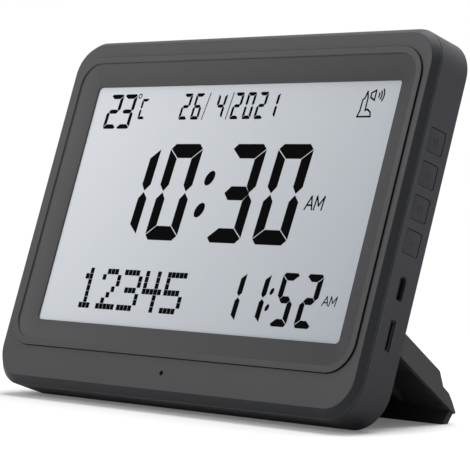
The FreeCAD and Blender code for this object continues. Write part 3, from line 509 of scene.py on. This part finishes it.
def tone_drift():
    """Group: slow change of a colour over the surface, with fine specks."""
    found = bpy.data.node_groups.get("Tone drift")
    if found:
        return found
    sockets = (("Vector", "INPUT", "Vector", None),
               ("Colour", "INPUT", "Color", (0.5, 0.5, 0.5, 1.0)),
               ("Amount", "INPUT", "Float", 0.1),
               ("Size", "INPUT", "Float", 30.0),
               ("Colour", "OUTPUT", "Color", None))
    group, enter, leave = new_group("Tone drift", sockets)
    slow = node(group, "TexNoise", 200, 100, Detail=3.0)
    specks = node(group, "TexNoise", 200, -160, Scale=2600.0, Detail=2.0)
    blend = node(group, "Mix", 400, 0)
    blend.data_type = "FLOAT"
    blend.inputs[0].default_value = 0.35
    swing = node(group, "MapRange", 560, 0, From_Min=0.3, From_Max=0.7, To_Max=1.0)
    low = maths(group, "SUBTRACT", 400, -300)
    low.inputs[0].default_value = 1.0
    mix = node(group, "VectorMath", 740, 0)
    mix.operation = "SCALE"
    wire(group, (
        (enter, "Vector", slow, "Vector"),
        (enter, "Vector", specks, "Vector"),
        (enter, "Size", slow, "Scale"),
        (slow, "Fac", blend, 2),
        (specks, "Fac", blend, 3),
        (blend, 0, swing, "Value"),
        (enter, "Amount", low, 1),
        (low, 0, swing, "To Min"),
        (enter, "Colour", mix, 0),
        (swing, "Result", mix, "Scale"),
        (mix, 0, leave, "Colour"),
    ))
    return group


def surface(name, colour, roughness, drift=0.12, drift_size=30.0, grain_size=1400.0,
            grain_depth=0.00003, spread=0.08, **constants):
    """Finish with drifting tone, grain and roughness; constants go straight on the shader."""
    found = bpy.data.materials.get(name)
    if found:
        return found
    made = bpy.data.materials.new(name)
    made.use_nodes = True
    tree = made.node_tree
    shader = tree.nodes["Principled BSDF"]
    fill(shader, **constants)
    where = node(tree, "TexCoord", -1200, 0)
    place = node(tree, "Mapping", -1000, 0)
    tone = node(tree, "Group", -700, 200)
    tone.node_tree = tone_drift()
    fill(tone, Colour=(*colour, 1.0), Amount=drift, Size=drift_size)
    grain = node(tree, "Group", -700, -200)
    grain.node_tree = moulded_grain()
    fill(grain, Size=grain_size, Roughness=roughness, Spread=spread)
    bump = node(tree, "Bump", -300, -300, Strength=0.6, Distance=grain_depth)
    wire(tree, (
        (where, "Object", place, "Vector"),
        (place, "Vector", tone, "Vector"),
        (place, "Vector", grain, "Vector"),
        (tone, "Colour", shader, "Base Color"),
        (grain, "Roughness", shader, "Roughness"),
        (grain, "Height", bump, "Height"),
        (bump, "Normal", shader, "Normal"),
    ))
    made.diffuse_color = (*colour, 1.0)
    return made


def fade_across(made, first, last, shift, angle, scale):
    """Let a finish's colour fade from first to last along a direction in the front plane; every use
    of it paints light or shade into the colour.
    """
    tree = made.node_tree
    if any(n.type == "TEX_GRADIENT" for n in tree.nodes):
        return made
    where = next(n for n in tree.nodes if n.type == "TEX_COORD")
    turn = node(tree, "Mapping", -1000, 500, Location=(shift, 0.0, 0.0),
                Rotation=(0.0, math.radians(angle), 0.0), Scale=(scale, scale, scale))
    fade = node(tree, "TexGradient", -820, 500)
    tones = node(tree, "ValToRGB", -660, 500)
    ends = tones.color_ramp.elements
    ends[0].color = (*first, 1.0)
    ends[1].color = (*last, 1.0)
    group = next(n for n in tree.nodes if n.type == "GROUP" and n.node_tree.name == "Tone drift")
    wire(tree, (
        (where, "Object", turn, "Vector"),
        (turn, "Vector", fade, "Vector"),
        (fade, "Color", tones, "Fac"),
        (tones, "Color", group, "Colour"),
    ))
    return made


def display_finish_painted_light():
    """Pale face of the display with painted light: brighter towards the upper left, with a faint
    film texture.
    """
    finish = bpy.context.scene.clock_finish
    made = surface("Display face with painted light", finish.display_painted_light, 0.42, drift=0.02, drift_size=12.0,
                   grain_size=5200.0, grain_depth=0.000004, spread=0.05,
                   Specular_IOR_Level=0.35)
    return fade_across(made, finish.display_painted_light, finish.display_painted_dim,
                       shift=0.72, angle=-35, scale=4.9)


def moulded(name, colour, roughness, gloss, **values):
    """Moulded plastic in one of the finish colours; other values replace the usual ones."""
    finish = bpy.context.scene.clock_finish
    values = {"drift": 0.10, "drift_size": 26.0, "grain_size": 1500.0, **values}
    return surface(name, getattr(finish, colour), roughness, grain_depth=finish.grain,
                   Specular_IOR_Level=gloss, **values)


def housing_plastic_painted_shade():
    """Moulded plastic with painted shade: it darkens a little towards the table."""
    finish = bpy.context.scene.clock_finish
    made = moulded("Housing plastic with painted shade", "housing", 0.56, 0.28)
    return fade_across(made, finish.housing, finish.housing_painted_shade, shift=0.85, angle=-90,
                       scale=8.0)


def rear_plastic_painted_shade():
    """Plastic of the side band and the back, with painted shade that makes it darker by the table.
    """
    finish = bpy.context.scene.clock_finish
    made = moulded("Rear plastic with painted shade", "rear", 0.56, 0.24)
    return fade_across(made, finish.rear, finish.rear_painted_shade, shift=0.75, angle=-90, scale=12.0)


def edge_painted_highlight():
    """Painted highlight: paler plastic colour on the edge where the bevel meets the side."""
    return moulded("Edge painted highlight", "edge", 0.45, 0.3, drift=0.2, drift_size=60.0)


def bevel_painted_shade():
    """Housing plastic drawn darker on the bevel round the face, as painted shade."""
    return moulded("Bevel painted shade", "bevel", 0.5, 0.22)


def rim_step_painted_shadow():
    """Painted shadow: near-black on the step outside the raised rim."""
    return moulded("Rim step painted shadow", "seam", 0.8, 0.05, drift=0.2, drift_size=90.0)


def surround_plastic_painted_shade():
    """Housing plastic of the sloped surround, with painted shade: it darkens to the right and
    downwards.
    """
    finish = bpy.context.scene.clock_finish
    made = moulded("Surround plastic with painted shade", "housing", 0.5, 0.3, drift=0.08)
    return fade_across(made, finish.housing, finish.surround, shift=0.72, angle=-35, scale=4.9)


def key_plastic():
    """Plastic of the key caps."""
    return moulded("Key plastic", "key", 0.6, 0.26, drift=0.08, drift_size=30.0,
                   grain_size=1900.0)


def key_mark_ink():
    """Dark print of the marks on the keys."""
    finish = bpy.context.scene.clock_finish
    return surface("Key mark ink", finish.mark, 0.7, drift=0.2, drift_size=220.0,
                   grain_size=2500.0, grain_depth=0.00001)


def display_ink():
    """Dark numerals of the display."""
    finish = bpy.context.scene.clock_finish
    return surface("Display ink", finish.ink, 0.7, drift=0.25, drift_size=160.0,
                   grain_size=4000.0, grain_depth=0.000003, Specular_IOR_Level=0.02)


def screw_steel():
    """Bright steel of screws, pins and the speaker frame."""
    finish = bpy.context.scene.clock_finish
    return surface("Screw steel", finish.steel, 0.34, drift=0.18, drift_size=420.0,
                   grain_size=2600.0, grain_depth=0.000012, Metallic=1.0)


# The front moulding

class CLOCK_OT_front(bpy.types.Operator):
    """Front moulding: bevelled face, raised rim, sloped surround, lip and tongue"""
    bl_idname = "clock.front"
    bl_label = "Front moulding"

    def execute(self, context):
        c = context.scene.clock_case
        draft = c.rim_rise * c.rim_draft
        gap = c.tongue_gap
        root = gap + c.tongue
        back = c.window_depth + c.lip
        band = c.rim_band

        def inside_case(inset, depth):
            return (c.half_width - inset, inset, c.height - inset, c.corner - inset, depth)

        def inside_rim(inset, depth):
            return (c.rim_side - inset, c.rim_low + inset, c.rim_high - inset,
                    c.rim_corner - inset, depth)

        window = (c.window_side, c.window_low, c.window_high, c.window_corner)
        rings = {
            "side": inside_case(0, c.bevel_depth),
            "face": (c.half_width - c.bevel_side, c.bevel_low, c.height - c.bevel_high,
                     c.corner - c.bevel_side, 0),
            "rim_foot": inside_rim(0, 0),
            "rim_crest": inside_rim(draft, -c.rim_rise),
            "rim_inside": inside_rim(band - draft, -c.rim_rise),
            "surround": inside_rim(band, 0),
            "window": (*window, c.window_depth),
            "lip": (*window, back),
            "tongue_root": inside_case(root, back),
            "tongue_inside": inside_case(root, c.tongue_end),
            "tongue_outside": inside_case(gap, c.tongue_end),
            "parting": inside_case(gap, c.bevel_depth),
        }
        names = list(rings)
        following = dict(zip(names, names[1:] + names[:1]))
        bm = bmesh.new()
        # The rings are bridged while stacked apart, because level rings would twist
        loops = {name: outline_loop(bm, *rings[name][:4], c.height * index)
                 for index, name in enumerate(names)}
        corners = {name: {v for e in loops[name] for v in e.verts} for name in names}
        for name in names:
            bmesh.ops.bridge_loops(bm, edges=loops[name] + loops[following[name]])
        for index, name in enumerate(names):
            bmesh.ops.translate(bm, verts=list(corners[name]),
                                vec=(0, rings[name][4] - c.height * index, 0))
        bmesh.ops.recalc_face_normals(bm, faces=bm.faces)
        # The bevel and the sloped surround get painted shade, and the rim's outer step a painted
        # shadow
        for name, finish in (("side", BEVEL_PAINTED_SHADE), ("rim_foot", RIM_STEP_PAINTED_SHADOW), ("surround", SURROUND_PAINTED_SHADE)):
            between = corners[name] | corners[following[name]]
            for face in bm.faces:
                if between.issuperset(face.verts):
                    face.material_index = finish
        for name in ("face", "rim_crest", "rim_inside"):
            soften(bm, loops[name], c.softening, 3)
        soften(bm, loops["window"], c.softening * 0.5, 2)
        # The softened outer edge of the bevel gets a painted highlight
        for face in soften(bm, loops["side"], c.softening, 2):
            face.material_index = EDGE_PAINTED_HIGHLIGHT
        shell = new_piece(bm, "front_shell", "case", housing_plastic_painted_shade())
        for finish in (bevel_painted_shade(), rim_step_painted_shadow(), surround_plastic_painted_shade(), edge_painted_highlight()):
            shell.data.materials.append(finish)
        bm = bmesh.new()
        bmesh.ops.create_cone(bm, cap_ends=True, segments=32, radius1=c.pinhole,
                              radius2=c.pinhole, depth=back * 4)
        place = lean() @ Matrix.Translation((c.pinhole_x, 0, c.pinhole_height)) @ ON_FRONT
        bmesh.ops.transform(bm, matrix=place, verts=bm.verts)
        cut_away(shell, loose_object(bm, "pinhole_tool"))
        shade(shell.data)
        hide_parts("front_housing")
        return {"FINISHED"}


# The display

def bars(bm, text, left, low, width, height, upright, level, split, slant, high):
    """One numeral of seven bars with mitred ends and thin light gaps."""
    cut = min(width * 0.13, level * 0.45)
    drop = level * 0.34
    middle = height / 2
    rise = level / 2
    half_gap = split / 2
    top = [(cut, height), (width - cut, height), (width - split, height - drop),
           (width - upright - split, height - level), (upright + split, height - level),
           (split, height - drop)]
    right = [(width, height - drop - split), (width, middle + rise),
             (width - upright * 0.55, middle + split), (width - upright, middle + rise),
             (width - upright, height - level - split)]
    point = upright * 0.45 + split
    shoulder = upright + split
    across = [(point, middle), (shoulder, middle + rise - half_gap),
              (width - shoulder, middle + rise - half_gap), (width - point, middle),
              (width - shoulder, middle - rise + half_gap), (shoulder, middle - rise + half_gap)]
    shapes = {
        "a": top,
        "b": right,
        "c": [(x, height - y) for x, y in right],
        "d": [(x, height - y) for x, y in top],
        "e": [(width - x, height - y) for x, y in right],
        "f": [(width - x, y) for x, y in right],
        "g": across,
    }
    for name in LIT_BARS[text]:
        plate(bm, [(left + x + slant * y, low + y) for x, y in shapes[name]], high)


def numeral_row(bm, row, **sizes):
    """Numerals side by side, all of one size."""
    display = bpy.context.scene.clock_display
    for text, left in row:
        bars(bm, text, left, slant=display.slant, high=display.ink, **sizes)


def dot_field(bm, text, lit_share=(0.94, 0.95)):
    """Plain numerals of square dots, each lit over a share of its cell."""
    d = bpy.context.scene.clock_display
    wide = d.dot_step * lit_share[0]
    tall = d.dot_pitch * lit_share[1]
    for index, numeral in enumerate(text):
        for row, line in enumerate(reversed(LIT_DOTS[numeral])):
            y = d.dot_low + row * d.dot_pitch
            for column, lit in enumerate(line):
                if lit == "#":
                    x = d.dot_left + index * d.dot_cell + column * d.dot_step
                    plate(bm, [(x, y), (x + wide, y), (x + wide, y + tall), (x, y + tall)], d.ink)


def sound_mark(bm):
    """Small outline mark with sound arcs."""
    d = bpy.context.scene.clock_display
    size = d.mark_size
    for line in SOUND_LINES:
        points = [(d.mark_left + size * x, d.mark_low + size * y) for x, y in line]
        stroke(bm, points, size * 0.062, d.ink)
    for radius in SOUND_ARCS:
        curved_strip(bm, d.mark_left + size * 0.68, d.mark_low + size * 0.76, size * radius,
                     size * 0.06, math.radians(-38), math.radians(76), d.ink)


def morning_mark(bm, left, low, width, height, high, slant=0.12, boldness=0.135):
    """The letters A and M in strokes, as wide and high as given."""
    for line in MORNING_STROKES:
        points = [(left + width * x + slant * height * y, low + height * y) for x, y in line]
        stroke(bm, points, height * boldness, high)


class CLOCK_OT_display(bpy.types.Operator):
    """Numerals and marks of the display, with plain numerals in the dot field"""
    bl_idname = "clock.display"
    bl_label = "Display"

    def execute(self, context):
        d = context.scene.clock_display
        at = Matrix.Translation((0, d.depth + d.ink, 0)) @ ON_FRONT
        ink = display_ink()

        bm = bmesh.new()
        numeral_row(bm, TIME_ROW, low=d.time_low, width=0.0193, height=d.time_height,
                    upright=0.0052, level=0.0060, split=d.split)
        for x, y in TIME_DOTS:
            disc(bm, x, y, across=0.0026, tall=0.0031, high=d.ink, slant=0.3)
        new_piece(bm, "time_numerals", "case", ink, at)

        bm = bmesh.new()
        numeral_row(bm, SECOND_ROW, low=d.second_low, width=0.0088, height=d.second_height,
                    upright=0.0027, level=0.0030, split=d.split * 0.8)
        for x, y in SECOND_DOTS:
            disc(bm, x, y, across=0.0010, tall=0.0014, high=d.ink, slant=0.3)
        new_piece(bm, "second_time_numerals", "case", ink, at)

        bm = bmesh.new()
        numeral_row(bm, TEMPERATURE_ROW, low=0.1121, width=0.0080, height=0.0152,
                    upright=0.0019, level=0.0020, split=d.split * 0.7)
        numeral_row(bm, DEGREE_ROW, low=0.1162, width=0.0042, height=0.0090,
                    upright=0.0012, level=0.0013, split=d.split * 0.4)
        curved_strip(bm, -0.0603, 0.1264, radius=0.0009, width=0.0005, start=0.0,
                     sweep=RING_TURN, high=d.ink, steps=24)
        new_piece(bm, "temperature_numerals", "case", ink, at)

        bm = bmesh.new()
        numeral_row(bm, DATE_ROW, low=0.1158, width=0.0050, height=0.0113,
                    upright=0.0013, level=0.0015, split=d.split * 0.5)
        stroke_low, stroke_high, stroke_width = 0.1157, 0.1273, 0.0005
        for low_x, high_x in DATE_STROKES:
            plate(bm, [(low_x, stroke_low), (low_x + stroke_width, stroke_low),
                       (high_x + stroke_width * 0.6, stroke_high),
                       (high_x - stroke_width * 0.4, stroke_high)], d.ink)
        new_piece(bm, "date_numerals", "case", ink, at)

        bm = bmesh.new()
        morning_mark(bm, left=0.0523, low=0.0792, width=0.0090, height=0.0053, high=d.ink)
        morning_mark(bm, left=0.0739, low=0.0423, width=0.0067, height=0.0036, high=d.ink)
        new_piece(bm, "morning_marks", "case", ink, at)

        bm = bmesh.new()
        dot_field(bm, "12345")
        new_piece(bm, "dot_numerals", "case", ink, at)

        bm = bmesh.new()
        sound_mark(bm)
        new_piece(bm, "sound_mark", "case", ink, at)
        return {"FINISHED"}


# Keys

def key_mark(bm, index, reach, high):
    """Plain mark of one key: arrow down, ring, arrow up and two bars, from the lowest key up."""
    tip, foot, bar = reach * 0.6, reach * 0.45, reach * 0.18
    tall = reach * 0.7
    if index == 0:
        plate(bm, [(-reach, foot), (0, -tip), (reach, foot)], high)
    elif index == 1:
        curved_strip(bm, 0, 0, radius=reach * 0.75, width=reach * 0.3, start=0.0,
                     sweep=RING_TURN, high=high, steps=28)
    elif index == 2:
        plate(bm, [(-reach, -foot), (reach, -foot), (0, tip)], high)
    else:
        for middle in (-foot, foot):
            plate(bm, [(middle - bar, -tall), (middle + bar, -tall), (middle + bar, tall),
                       (middle - bar, tall)], high)


class CLOCK_OT_keys(bpy.types.Operator):
    """Four side keys with rounded caps, stop flanges and plain marks"""
    bl_idname = "clock.keys"
    bl_label = "Side keys"

    def execute(self, context):
        k = context.scene.clock_keys
        wall = context.scene.clock_case.half_width
        half_flange = k.flange_thickness / 2
        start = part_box("key_1")[0].x + half_flange
        for index in range(4):
            name = "key_" + str(index + 1)
            height = k.lowest + index * k.pitch
            at = Matrix.Translation((0, k.depth_place, height)) @ ON_SIDE
            from_wall = Matrix.Translation((0, 0, start))
            bm = bmesh.new()
            face = rounded_face(bm, from_wall, k.width, k.height, k.corner, steps=6)
            top = raise_faces(bm, [face], wall - k.mark - start)
            rim = [e for e in bm.edges if all(v in top for v in e.verts)]
            soften(bm, rim, k.edge, 3)
            rear = bmesh.ops.create_cube(bm, size=1.0)["verts"]
            flange = Matrix.Diagonal((k.width + 2 * k.flange, k.height + 2 * k.flange,
                                      k.flange_thickness, 1))
            bmesh.ops.transform(bm, verts=rear, matrix=from_wall @ flange)
            cap = new_piece(bm, "cap_" + name, name, key_plastic(), at)
            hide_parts(name)
            bm = bmesh.new()
            key_mark(bm, index, k.mark_reach, k.mark)
            mark_at = at @ Matrix.Translation((0, 0, wall - k.mark))
            new_piece(bm, "mark_" + name, name, key_mark_ink(), mark_at)
        return {"FINISHED"}


# Screws

def turned(bm, profile, steps=40):
    """Turned piece: (radius, height) points spun round the z axis."""
    verts = [bm.verts.new((r, 0, z)) for r, z in profile]
    edges = [bm.edges.new(pair) for pair in zip(verts, verts[1:])]
    bmesh.ops.spin(bm, geom=verts + edges, cent=(0, 0, 0), axis=(0, 0, 1), angle=math.tau,
                   steps=steps, use_merge=True)
    bmesh.ops.remove_doubles(bm, verts=bm.verts, dist=SAME_PLACE)
    bmesh.ops.recalc_face_normals(bm, faces=bm.faces)


class CLOCK_OT_screws(bpy.types.Operator):
    """Eight case screws with domed heads and cross recesses"""
    bl_idname = "clock.screws"
    bl_label = "Case screws"

    def execute(self, context):
        c = context.scene.clock_case
        w = context.scene.clock_screws
        bm = bmesh.new()
        turned(bm, SCREW_PROFILE)
        head = loose_object(bm, "screw_pattern")
        arm = Matrix.Diagonal((w.recess_length, w.recess_width, w.recess_tool, 1))
        middle = Matrix.Translation((0, 0, w.recess_floor + w.recess_tool / 2))
        for turn in (0, math.pi / 2):
            bm = bmesh.new()
            bmesh.ops.create_cube(bm, size=1.0,
                                  matrix=middle @ Matrix.Rotation(turn, 4, "Z") @ arm)
            cut_away(head, loose_object(bm, "recess_tool"))
        side = c.half_width - w.side_inset
        places = [(x, y) for x in (-side, side)
                  for y in (w.outer_inset, c.height - w.outer_inset)]
        places += [(x, y) for x in (-w.inner_place, w.inner_place)
                   for y in (w.inner_inset, c.height - w.inner_inset)]
        bm = bmesh.new()
        for index, (x, y) in enumerate(places):
            before = set(bm.verts)
            bm.from_mesh(head.data)
            fresh = [v for v in bm.verts if v not in before]
            # Each screw stops at its own angle
            move = (Matrix.Translation((x, w.seat, y)) @ ON_BACK
                    @ Matrix.Rotation(0.7 * index, 4, "Z"))
            bmesh.ops.transform(bm, verts=fresh, matrix=move)
        bpy.data.objects.remove(head)
        screws = new_piece(bm, "case_screw_set", "case", screw_steel())
        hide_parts("case_screws")
        return {"FINISHED"}


# Finishes of the carried-over nodes

class CLOCK_OT_finishes(bpy.types.Operator):
    """Finishes of the housing, leg, sockets and everything inside the case"""
    bl_idname = "clock.finishes"
    bl_label = "Finishes"

    def execute(self, context):
        f = context.scene.clock_finish
        rubber = surface("Foot rubber", f.rubber, 0.82, drift=0.3, drift_size=120.0,
                         grain_size=900.0, grain_depth=0.00005)
        board = surface("Board lacquer", f.board, 0.32, drift=0.25, drift_size=260.0,
                        grain_size=700.0, grain_depth=0.00001)
        finishes = [
            # The rear shell and the leg carry painted shade towards the table, and the display face
            # painted light
            (("rear_housing",), rear_plastic_painted_shade()),
            (("front_polarizer",), display_finish_painted_light()),
            (("leg",), housing_plastic_painted_shade()),
            (("leg_foot",), rubber),
            (("leg_pins", "tray_screws", "board_screws", "speaker_frame"), screw_steel()),
            (("main_board", "key_board", "port_board", "sensor_board"), board),
        ]
        finishes += [(names, surface(*values, **more)) for names, *values, more in PLAIN_FINISHES]
        for names, finish in finishes:
            for name in names:
                materials = frame["nodes"][name].data.materials
                materials.clear()
                materials.append(finish)
        dressed = {name for names, finish in finishes for name in names}
        bare = [name for name, part in frame["nodes"].items()
                if name not in dressed and not part.hide_render]
        if bare:
            raise RuntimeError("no finish for " + ", ".join(sorted(bare)))
        return {"FINISHED"}


# Stage

def lamp(name, place, aim, size, power):
    """Round soft lamp that shines on a point."""
    data = bpy.data.lights.new(name, "AREA")
    data.shape = "DISK"
    data.size = size
    data.energy = power
    made = bpy.data.objects.new(name, data)
    made.location = place
    made.rotation_euler = (Vector(aim) - Vector(place)).to_track_quat("-Z", "Y").to_euler()
    bpy.context.scene.collection.objects.link(made)


def white_room(ambient):
    """World that is plain white to the eye, in gloss and through glass, and dimmer as light."""
    world = bpy.data.worlds.new("Studio")
    bpy.context.scene.world = world
    world.use_nodes = True
    tree = world.node_tree
    plain = tree.nodes["Background"]
    plain.inputs["Color"].default_value = (1, 1, 1, 1)
    rays = node(tree, "LightPath", -600, 200)
    seen = maths(tree, "MAXIMUM", -400, 200)
    clear = maths(tree, "MAXIMUM", -250, 200)
    level = node(tree, "MapRange", -100, 200, To_Min=ambient, To_Max=1.0)
    wire(tree, (
        (rays, "Is Camera Ray", seen, 0),
        (rays, "Is Glossy Ray", seen, 1),
        (seen, 0, clear, 0),
        (rays, "Is Transmission Ray", clear, 1),
        (clear, 0, level, "Value"),
        (level, "Result", plain, "Strength"),
    ))


def floor_paint(floor_glow, near=0.16, away=0.42):
    """White paint that keeps the clock's shadow near it and is plain white further away."""
    paint = bpy.data.materials.new("Floor paint")
    paint.use_nodes = True
    tree = paint.node_tree
    lit = tree.nodes["Principled BSDF"]
    fill(lit, Base_Color=(0.93, 0.93, 0.935, 1), Roughness=0.9, Specular_IOR_Level=0.1)
    glow = node(tree, "Emission", 0, -300)
    where = node(tree, "TexCoord", -900, -200)
    reach = node(tree, "VectorMath", -700, -200)
    reach.operation = "LENGTH"
    far = node(tree, "MapRange", -500, -200, From_Min=near, From_Max=away,
               To_Min=floor_glow, To_Max=1.0)
    far.interpolation_type = "SMOOTHSTEP"
    rays = node(tree, "LightPath", -500, 200)
    seen = maths(tree, "MULTIPLY", -300, 0)
    mix = node(tree, "MixShader", 300, 0)
    wire(tree, (
        (where, "Object", reach, 0),
        (reach, "Value", far, "Value"),
        (rays, "Is Camera Ray", seen, 0),
        (far, "Result", seen, 1),
        (seen, 0, mix, 0),
        (lit, 0, mix, 1),
        (glow, 0, mix, 2),
        (mix, 0, tree.nodes["Material Output"], "Surface"),
    ))
    return paint


class CLOCK_OT_stage(bpy.types.Operator):
    """White floor, soft lamps and the camera at the photograph's angle"""
    bl_idname = "clock.stage"
    bl_label = "Stage"

    def execute(self, context):
        s = context.scene.clock_stage
        data = bpy.data.cameras.new("Camera")
        data.lens = s.lens
        data.sensor_width = 36.0
        data.clip_start = 0.01
        data.clip_end = 50.0
        camera = bpy.data.objects.new("Camera", data)
        camera.location = s.camera_place
        camera.rotation_euler = Vector(s.camera_aim).to_track_quat("-Z", "Y").to_euler()
        context.scene.collection.objects.link(camera)
        context.scene.camera = camera

        lamp("Key lamp", place=(0.05, 0.35, 1.1), aim=(0, 0, 0.05), size=1.2, power=s.key_power)
        lamp("Fill lamp", place=(-0.7, -1.3, 0.8), aim=(0, 0, 0.08), size=1.4,
             power=s.fill_power)
        white_room(s.ambient)

        bm = bmesh.new()
        bmesh.ops.create_circle(bm, cap_ends=True, segments=96, radius=14.0)
        floor = loose_object(bm, "floor")
        floor.data.materials.append(floor_paint(s.floor_glow))

        context.scene.view_settings.view_transform = "Standard"
        return {"FINISHED"}


# Panel and registration

class CLOCK_PT_pieces(bpy.types.Panel):
    """Buttons for the steps that build the clock, with its sizes and colours"""
    bl_idname = "CLOCK_PT_pieces"
    bl_label = "Display clock"
    bl_space_type = "VIEW_3D"
    bl_region_type = "UI"
    bl_category = "Clock"

    def draw(self, context):
        for operator in OPERATORS:
            self.layout.operator(operator.bl_idname)
        for name in GROUPS:
            group = getattr(context.scene, name)
            box = self.layout.box()
            box.label(text=name.replace("_", " ").capitalize())
            for key in group.__annotations__:
                box.prop(group, key)


GROUPS = {
    "clock_case": ClockCase,
    "clock_keys": ClockKeys,
    "clock_screws": ClockScrews,
    "clock_display": ClockDisplay,
    "clock_finish": ClockFinish,
    "clock_stage": ClockStage,
}
OPERATORS = (CLOCK_OT_stage, CLOCK_OT_front, CLOCK_OT_display, CLOCK_OT_keys, CLOCK_OT_screws,
             CLOCK_OT_finishes)


def register():
    for group in (*GROUPS.values(), *OPERATORS, CLOCK_PT_pieces):
        bpy.utils.register_class(group)
    for name, group in GROUPS.items():
        setattr(bpy.types.Scene, name, PointerProperty(type=group))


def unregister():
    for name in GROUPS:
        delattr(bpy.types.Scene, name)
    for group in reversed((*GROUPS.values(), *OPERATORS, CLOCK_PT_pieces)):
        bpy.utils.unregister_class(group)


def main():
    register()
    bpy.ops.clock.stage()
    bpy.ops.clock.front()
    bpy.ops.clock.display()
    bpy.ops.clock.keys()
    bpy.ops.clock.screws()
    bpy.ops.clock.finishes()


if __name__ == "__main__":
    main()
